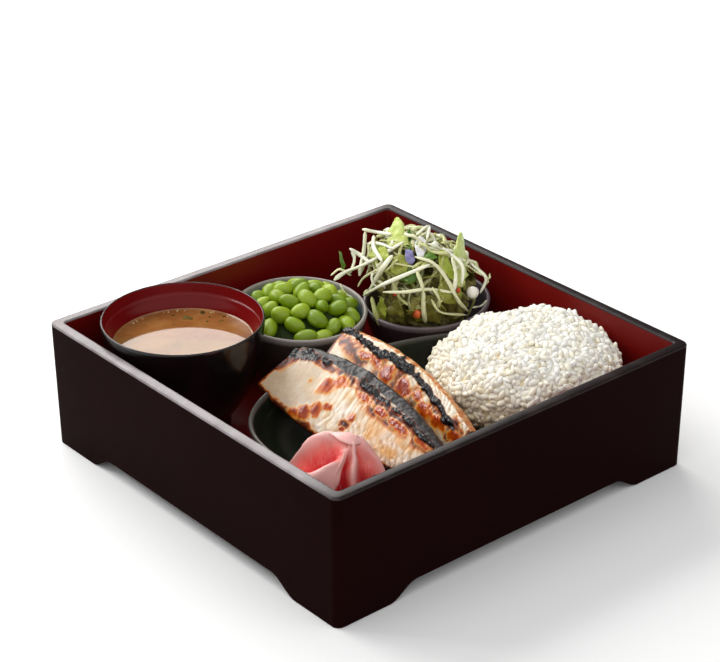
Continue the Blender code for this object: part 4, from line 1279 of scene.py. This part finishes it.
points, faces, tones, deeps = [], [], [], []
LEAVES = (
    ("lettuce", .66, 1.4, ((-25, 18), (-15, 33), (-7, 21)), ((-17, 14), (-13, 16), (-8, 14))),
    ("lettuce", .72, 1.0, ((18, 8), (25, 24), (30, 9)), ((20, -9), (24, -11), (28, -9))),
    ("lettuce", .45, 1.8, ((8, 12), (14, 12), (18, 6)), ((14, -4), (18, -6), (21, -8))),
    ("lettuce", .34, 1.6, ((-22, 6), (-14, 9), (-7, 6)), ((-18, -5), (-13, -3), (-8, 0))),
    ("herb", .20, 0.8, ((-9, 26), (-7, 27), (-6, 25)), ((-10, 14), (-8, 13), (-6, 14))),
    ("herb", .10, 0.9, ((-2, 9), (6, 13), (10, 10)), ((0, 5), (6, 6), (9, 7))),
    ("herb", .08, 0.9, ((-16, -2), (-8, 0), (0, -2)), ((-14, -7), (-8, -9), (-2, -7))),
    ("herb", .14, 0.8, ((-52, 13), (-51, 12), (-50, 11)), ((-50, 1), (-49, 1), (-47, 3))),
    ("lettuce", .40, 1.5, ((-28, -16), (-25, -17), (-22, -18)), ((-29, -32), (-26, -33), (-22, -33))),
    ("lettuce", .22, 1.8, ((-10, -20), (2, -16), (14, -19)), ((-12, -30), (2, -33), (16, -31))),
    ("lettuce", .16, 1.6, ((-22, -22), (-17, -19), (-11, -22)), ((-21, -33), (-16, -34), (-11, -33))),
    ("lettuce", .50, 1.3, ((-33, 14), (-27, 17), (-20, 13)), ((-32, 6), (-26, 7), (-21, 5))),
    ("petal", .5, 0.7, ((-5, 19), (-1, 21), (4, 20)), ((-4, 8), (-1, 7), (2, 9))),
    ("bloom", .5, 1.0, ((-11, 12), (-8, 13), (-5, 11)), ((-10, 4), (-8, 3), (-4, 4))),
    ("lettuce", .30, 1.6, ((8, -8), (16, -6), (24, -10)), ((10, -20), (18, -22), (26, -20))),
)
kinds = {"lettuce": 0.0, "herb": 0.35, "petal": 0.7, "bloom": 1.0}
bands = []
for kind, tone, frill, upper, lower in LEAVES:
    net = np.array([[on_heap(*stop, -0.5 * MM) for stop in row] for row in (upper, lower)])
    net = np.stack([net[0], net.mean(0) + np.array(axes[1]) * 2.2 * MM, net[1]])
    grid = curved(net, 13)
    grid = np.swapaxes(curved(np.swapaxes(grid, 0, 1), 15), 0, 1)
    lengthwise = np.linspace(0, 1, 13)[:, None]
    rim = np.abs(np.linspace(-1, 1, 15))[None]
    narrow = 1 - 0.55 * (1 - np.sin(np.pi * np.clip(lengthwise * 0.9 + 0.06, 0, 1))) * rim ** 1.5
    middle = grid[:, 7:8]
    grid = middle + (grid - middle) * narrow[..., None]
    wave = rough(grid, 5 * MM, len(points) * 0.01) * (0.5 + rim ** 2) * frill
    normal = unit(np.cross(np.gradient(grid, axis=0), np.gradient(grid, axis=1)) + 1e-12)
    made, quads = sheet(grid + normal * (wave * 2.2 * MM)[..., None], 0.7 * MM)
    lay(made, quads, tone, np.exp(-((rim * np.ones((13, 1))) / 0.14) ** 2).ravel().mean())
    bands += [kinds[kind]] * len(made)

leaf = Finish("salad_leaf", Specular_IOR_Level=0.4, Subsurface_Weight=0.25,
              Subsurface_Radius=(0.001, 0.002, 0.0004))
blades = leaf.grain(3.2 * MM, detail=4.0)
green = leaf.ramp(leaf.sum(leaf.own("tone"), leaf.span(blades, -0.16, 0.16), "ADD"), (0.05, tint(74, 70, 24)),
                  (0.25, tint(128, 122, 50)), (0.45, tint(160, 172, 60)), (0.62, tint(182, 196, 92)),
                  (0.8, tint(212, 222, 150)))
herb = leaf.mix(blades, tint(40, 74, 16), tint(110, 150, 44))
green = leaf.mix(leaf.span(leaf.own("kind"), 0.0, 1.0, 0.1, 0.3), green, herb)
green = leaf.mix(leaf.span(leaf.own("kind"), 0.0, 1.0, 0.5, 0.62), green, tint(232, 234, 232))
green = leaf.mix(leaf.span(leaf.own("kind"), 0.0, 1.0, 0.8, 0.92), green,
                 leaf.mix(leaf.grain(2.5 * MM), tint(70, 60, 120), tint(176, 172, 214)))
leaf.set(Base_Color=green, Roughness=leaf.span(blades, 0.28, 0.45))
leaf.bump(leaf.cells(2.4 * MM), 0.25 * MM)
leaves = placed("salad_leaves_loose", points, faces, leaf, tone=tones, kind=bands)

points, faces, tones, deeps = [], [], [], []
ball, ball_faces = round_form(12, 8)
for size, tone, across, up in ((4.0, .95, 31, -14), (2.6, .85, 8, 15), (3.2, .22, -4, -27),
                               (1.6, .12, 22, -13),
                               (1.4, .12, -17, -15), (2.2, .7, -34, -14)):
    form = ball * size * MM * rng.uniform(0.75, 1.1, 3)
    form += rough(form, 2.5 * MM, size)[:, None] * ball * 0.6 * MM
    lay(form + on_heap(across, up, 0.5 * MM), ball_faces, tone, 0.0)
bits = Finish("salad_bits", Roughness=0.35, Subsurface_Weight=0.2, Subsurface_Radius=(0.002, 0.001, 0.001))
bits.set(Base_Color=bits.ramp(bits.sum(bits.own("tone"), bits.span(bits.grain(2 * MM), -0.06, 0.06), "ADD"),
                              (0.12, tint(196, 60, 30)), (0.3, tint(226, 116, 50)),
                              (0.65, tint(196, 206, 130)),
                              (0.9, tint(238, 236, 224))))
bits.bump(bits.grain(1.5 * MM), 0.2 * MM)
pieces = placed("salad_bits", points, faces, bits, tone=tones)

# Painted shade: the core under the strands is painted mostly dark olive, standing for the shade deep inside
# the heap.
painted_salad_shade = Finish("salad_shade", Roughness=0.5, Specular_IOR_Level=0.3)
painted_salad_shade.set(Base_Color=painted_salad_shade.ramp(painted_salad_shade.grain(7 * MM, detail=4.0), (0.35, tint(60, 54, 22)),
                                        (0.5, tint(108, 98, 40)), (0.68, tint(160, 150, 84))))
painted_salad_shade.bump(painted_salad_shade.cells(5 * MM, stretch=(1, 1, 2)), 1.6 * MM)
salad_core = heap_of("salad_core", "salad", SALAD_CORE_INSET, 2.2 * MM, 2.4 * MM, 9 * MM)
salad_core.data.materials.append(painted_salad_shade.material)
for piece in (strands, leaves, pieces, salad_core):
    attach(piece, "root")
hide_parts("salad")

# ---------------------------------------------------------------- floor, light and camera
# A white table under a white sky, three soft panels to the back and side, and the camera above the
# front corner.
FLOOR_HALF = 4.0
CAMERA_YAW = math.radians(49.925)
CAMERA_PITCH = math.radians(27.113)
CAMERA_ROLL = math.radians(-0.344)
CAMERA_PLACE = Vector((-0.75386, -0.89077, 0.68025))
CAMERA_LENS = 110.68
PANEL_AZIMUTH = math.radians(68)
PANEL_RISE = math.radians(35)
PANEL_DISTANCE = 1.7
PANEL_SIZE = (1.2, 0.92)
PANEL_RADIANCE = 4.2
GLINT_AZIMUTH = math.radians(136)
GLINT_RISE = math.radians(40)
GLINT_SIZE = (0.2, 0.2)
GLINT_RADIANCE = 22.0
SIDE_AZIMUTH = math.radians(110)
SIDE_RISE = math.radians(40)
SIDE_SIZE = (0.8, 0.8)
SIDE_RADIANCE = 6.5
SKY_HIGH = 1.0
SKY_FRONT = 0.95
SKY_BACK = 0.14

floor_finish = Finish("floor_white", Roughness=0.85, Specular_IOR_Level=0.1)
floor_finish.set(Base_Color=floor_finish.mix(floor_finish.grain(400 * MM), (0.93, 0.93, 0.93),
                                             (0.95, 0.95, 0.95)))
floor_mesh = bpy.data.meshes.new("floor")
floor_mesh.from_pydata([(-FLOOR_HALF, -FLOOR_HALF, 0), (FLOOR_HALF, -FLOOR_HALF, 0),
                        (FLOOR_HALF, FLOOR_HALF, 0),
                        (-FLOOR_HALF, FLOOR_HALF, 0)], [], [(0, 1, 2, 3)])
floor_mesh.materials.append(floor_finish.material)
floor = bpy.data.objects.new("floor", floor_mesh)
bpy.context.scene.collection.objects.link(floor)

sky = bpy.data.worlds.new("sky")
sky.use_nodes = True


def sky_node(kind, *inputs, **settings):
    """A node of the sky's tree with its first inputs set or linked in order."""
    made = sky.node_tree.nodes.new(kind)
    for name, value in settings.items():
        setattr(made, name, value)
    for socket, value in zip(made.inputs, inputs):
        if isinstance(value, bpy.types.NodeSocket):
            sky.node_tree.links.new(value, socket)
        else:
            socket.default_value = value
    return made


toward = sky_node("ShaderNodeTexCoord").outputs["Generated"]
back_share = sky_node("ShaderNodeVectorMath", toward, (math.cos(CAMERA_YAW), math.sin(CAMERA_YAW), 0.0),
                      operation="DOT_PRODUCT").outputs["Value"]
height = sky_node("ShaderNodeSeparateXYZ", toward).outputs["Z"]
sides = sky_node("ShaderNodeMapRange", back_share, -0.35, 0.35, SKY_FRONT, SKY_BACK,
                 interpolation_type="SMOOTHSTEP")
high = sky_node("ShaderNodeMapRange", height, 0.62, 0.92, 0.0, 1.0, interpolation_type="SMOOTHSTEP")
lit = sky_node("ShaderNodeMix", high.outputs[0])
sky.node_tree.links.new(sides.outputs[0], lit.inputs[2])
lit.inputs[3].default_value = SKY_HIGH
seen = sky_node("ShaderNodeMix", sky_node("ShaderNodeLightPath").outputs["Is Camera Ray"])
sky.node_tree.links.new(lit.outputs[0], seen.inputs[2])
seen.inputs[3].default_value = 1.0
sky_paint = sky.node_tree.nodes["Background"]
sky_paint.inputs["Color"].default_value = (1.0, 1.0, 1.0, 1.0)
sky.node_tree.links.new(seen.outputs[0], sky_paint.inputs["Strength"])
bpy.context.scene.world = sky
bpy.context.scene.view_settings.view_transform = "Standard"


def soft_panel(name, azimuth, rise, distance, size, radiance, colour):
    """A rectangular light that faces the meal from a direction and shines evenly."""
    lamp = bpy.data.lights.new(name, "AREA")
    lamp.shape = "RECTANGLE"
    lamp.size, lamp.size_y = size
    lamp.energy = radiance * math.pi * size[0] * size[1]
    lamp.color = colour
    holder = bpy.data.objects.new(name, lamp)
    away = Vector((math.cos(azimuth) * math.cos(rise), math.sin(azimuth) * math.cos(rise), math.sin(rise)))
    holder.location = away * distance
    holder.rotation_mode = "QUATERNION"
    holder.rotation_quaternion = away.to_track_quat("Z", "Y")
    holder.visible_camera = False
    bpy.context.scene.collection.objects.link(holder)
    return holder


soft_panel("back_panel", PANEL_AZIMUTH, PANEL_RISE, PANEL_DISTANCE, PANEL_SIZE, PANEL_RADIANCE,
           (1.0, 0.985, 0.96))
soft_panel("glint_panel", GLINT_AZIMUTH, GLINT_RISE, PANEL_DISTANCE, GLINT_SIZE, GLINT_RADIANCE,
           (1.0, 1.0, 1.0))
soft_panel("side_panel", SIDE_AZIMUTH, SIDE_RISE, PANEL_DISTANCE, SIDE_SIZE, SIDE_RADIANCE,
           (1.0, 0.99, 0.975))

lens = bpy.data.cameras.new("camera")
lens.sensor_fit = "HORIZONTAL"
lens.sensor_width = 36.0
lens.lens = CAMERA_LENS
camera = bpy.data.objects.new("camera", lens)
ahead = Vector((math.cos(CAMERA_YAW) * math.cos(CAMERA_PITCH), math.sin(CAMERA_YAW) * math.cos(CAMERA_PITCH),
                -math.sin(CAMERA_PITCH)))
level = Vector((math.sin(CAMERA_YAW), -math.cos(CAMERA_YAW), 0.0))
upward = level.cross(ahead)
right = level * math.cos(CAMERA_ROLL) + upward * math.sin(CAMERA_ROLL)
top = upward * math.cos(CAMERA_ROLL) - level * math.sin(CAMERA_ROLL)
camera.matrix_world = Matrix.Translation(CAMERA_PLACE) @ Matrix((right, top, -ahead)).transposed().to_4x4()
bpy.context.scene.collection.objects.link(camera)
bpy.context.scene.camera = camera
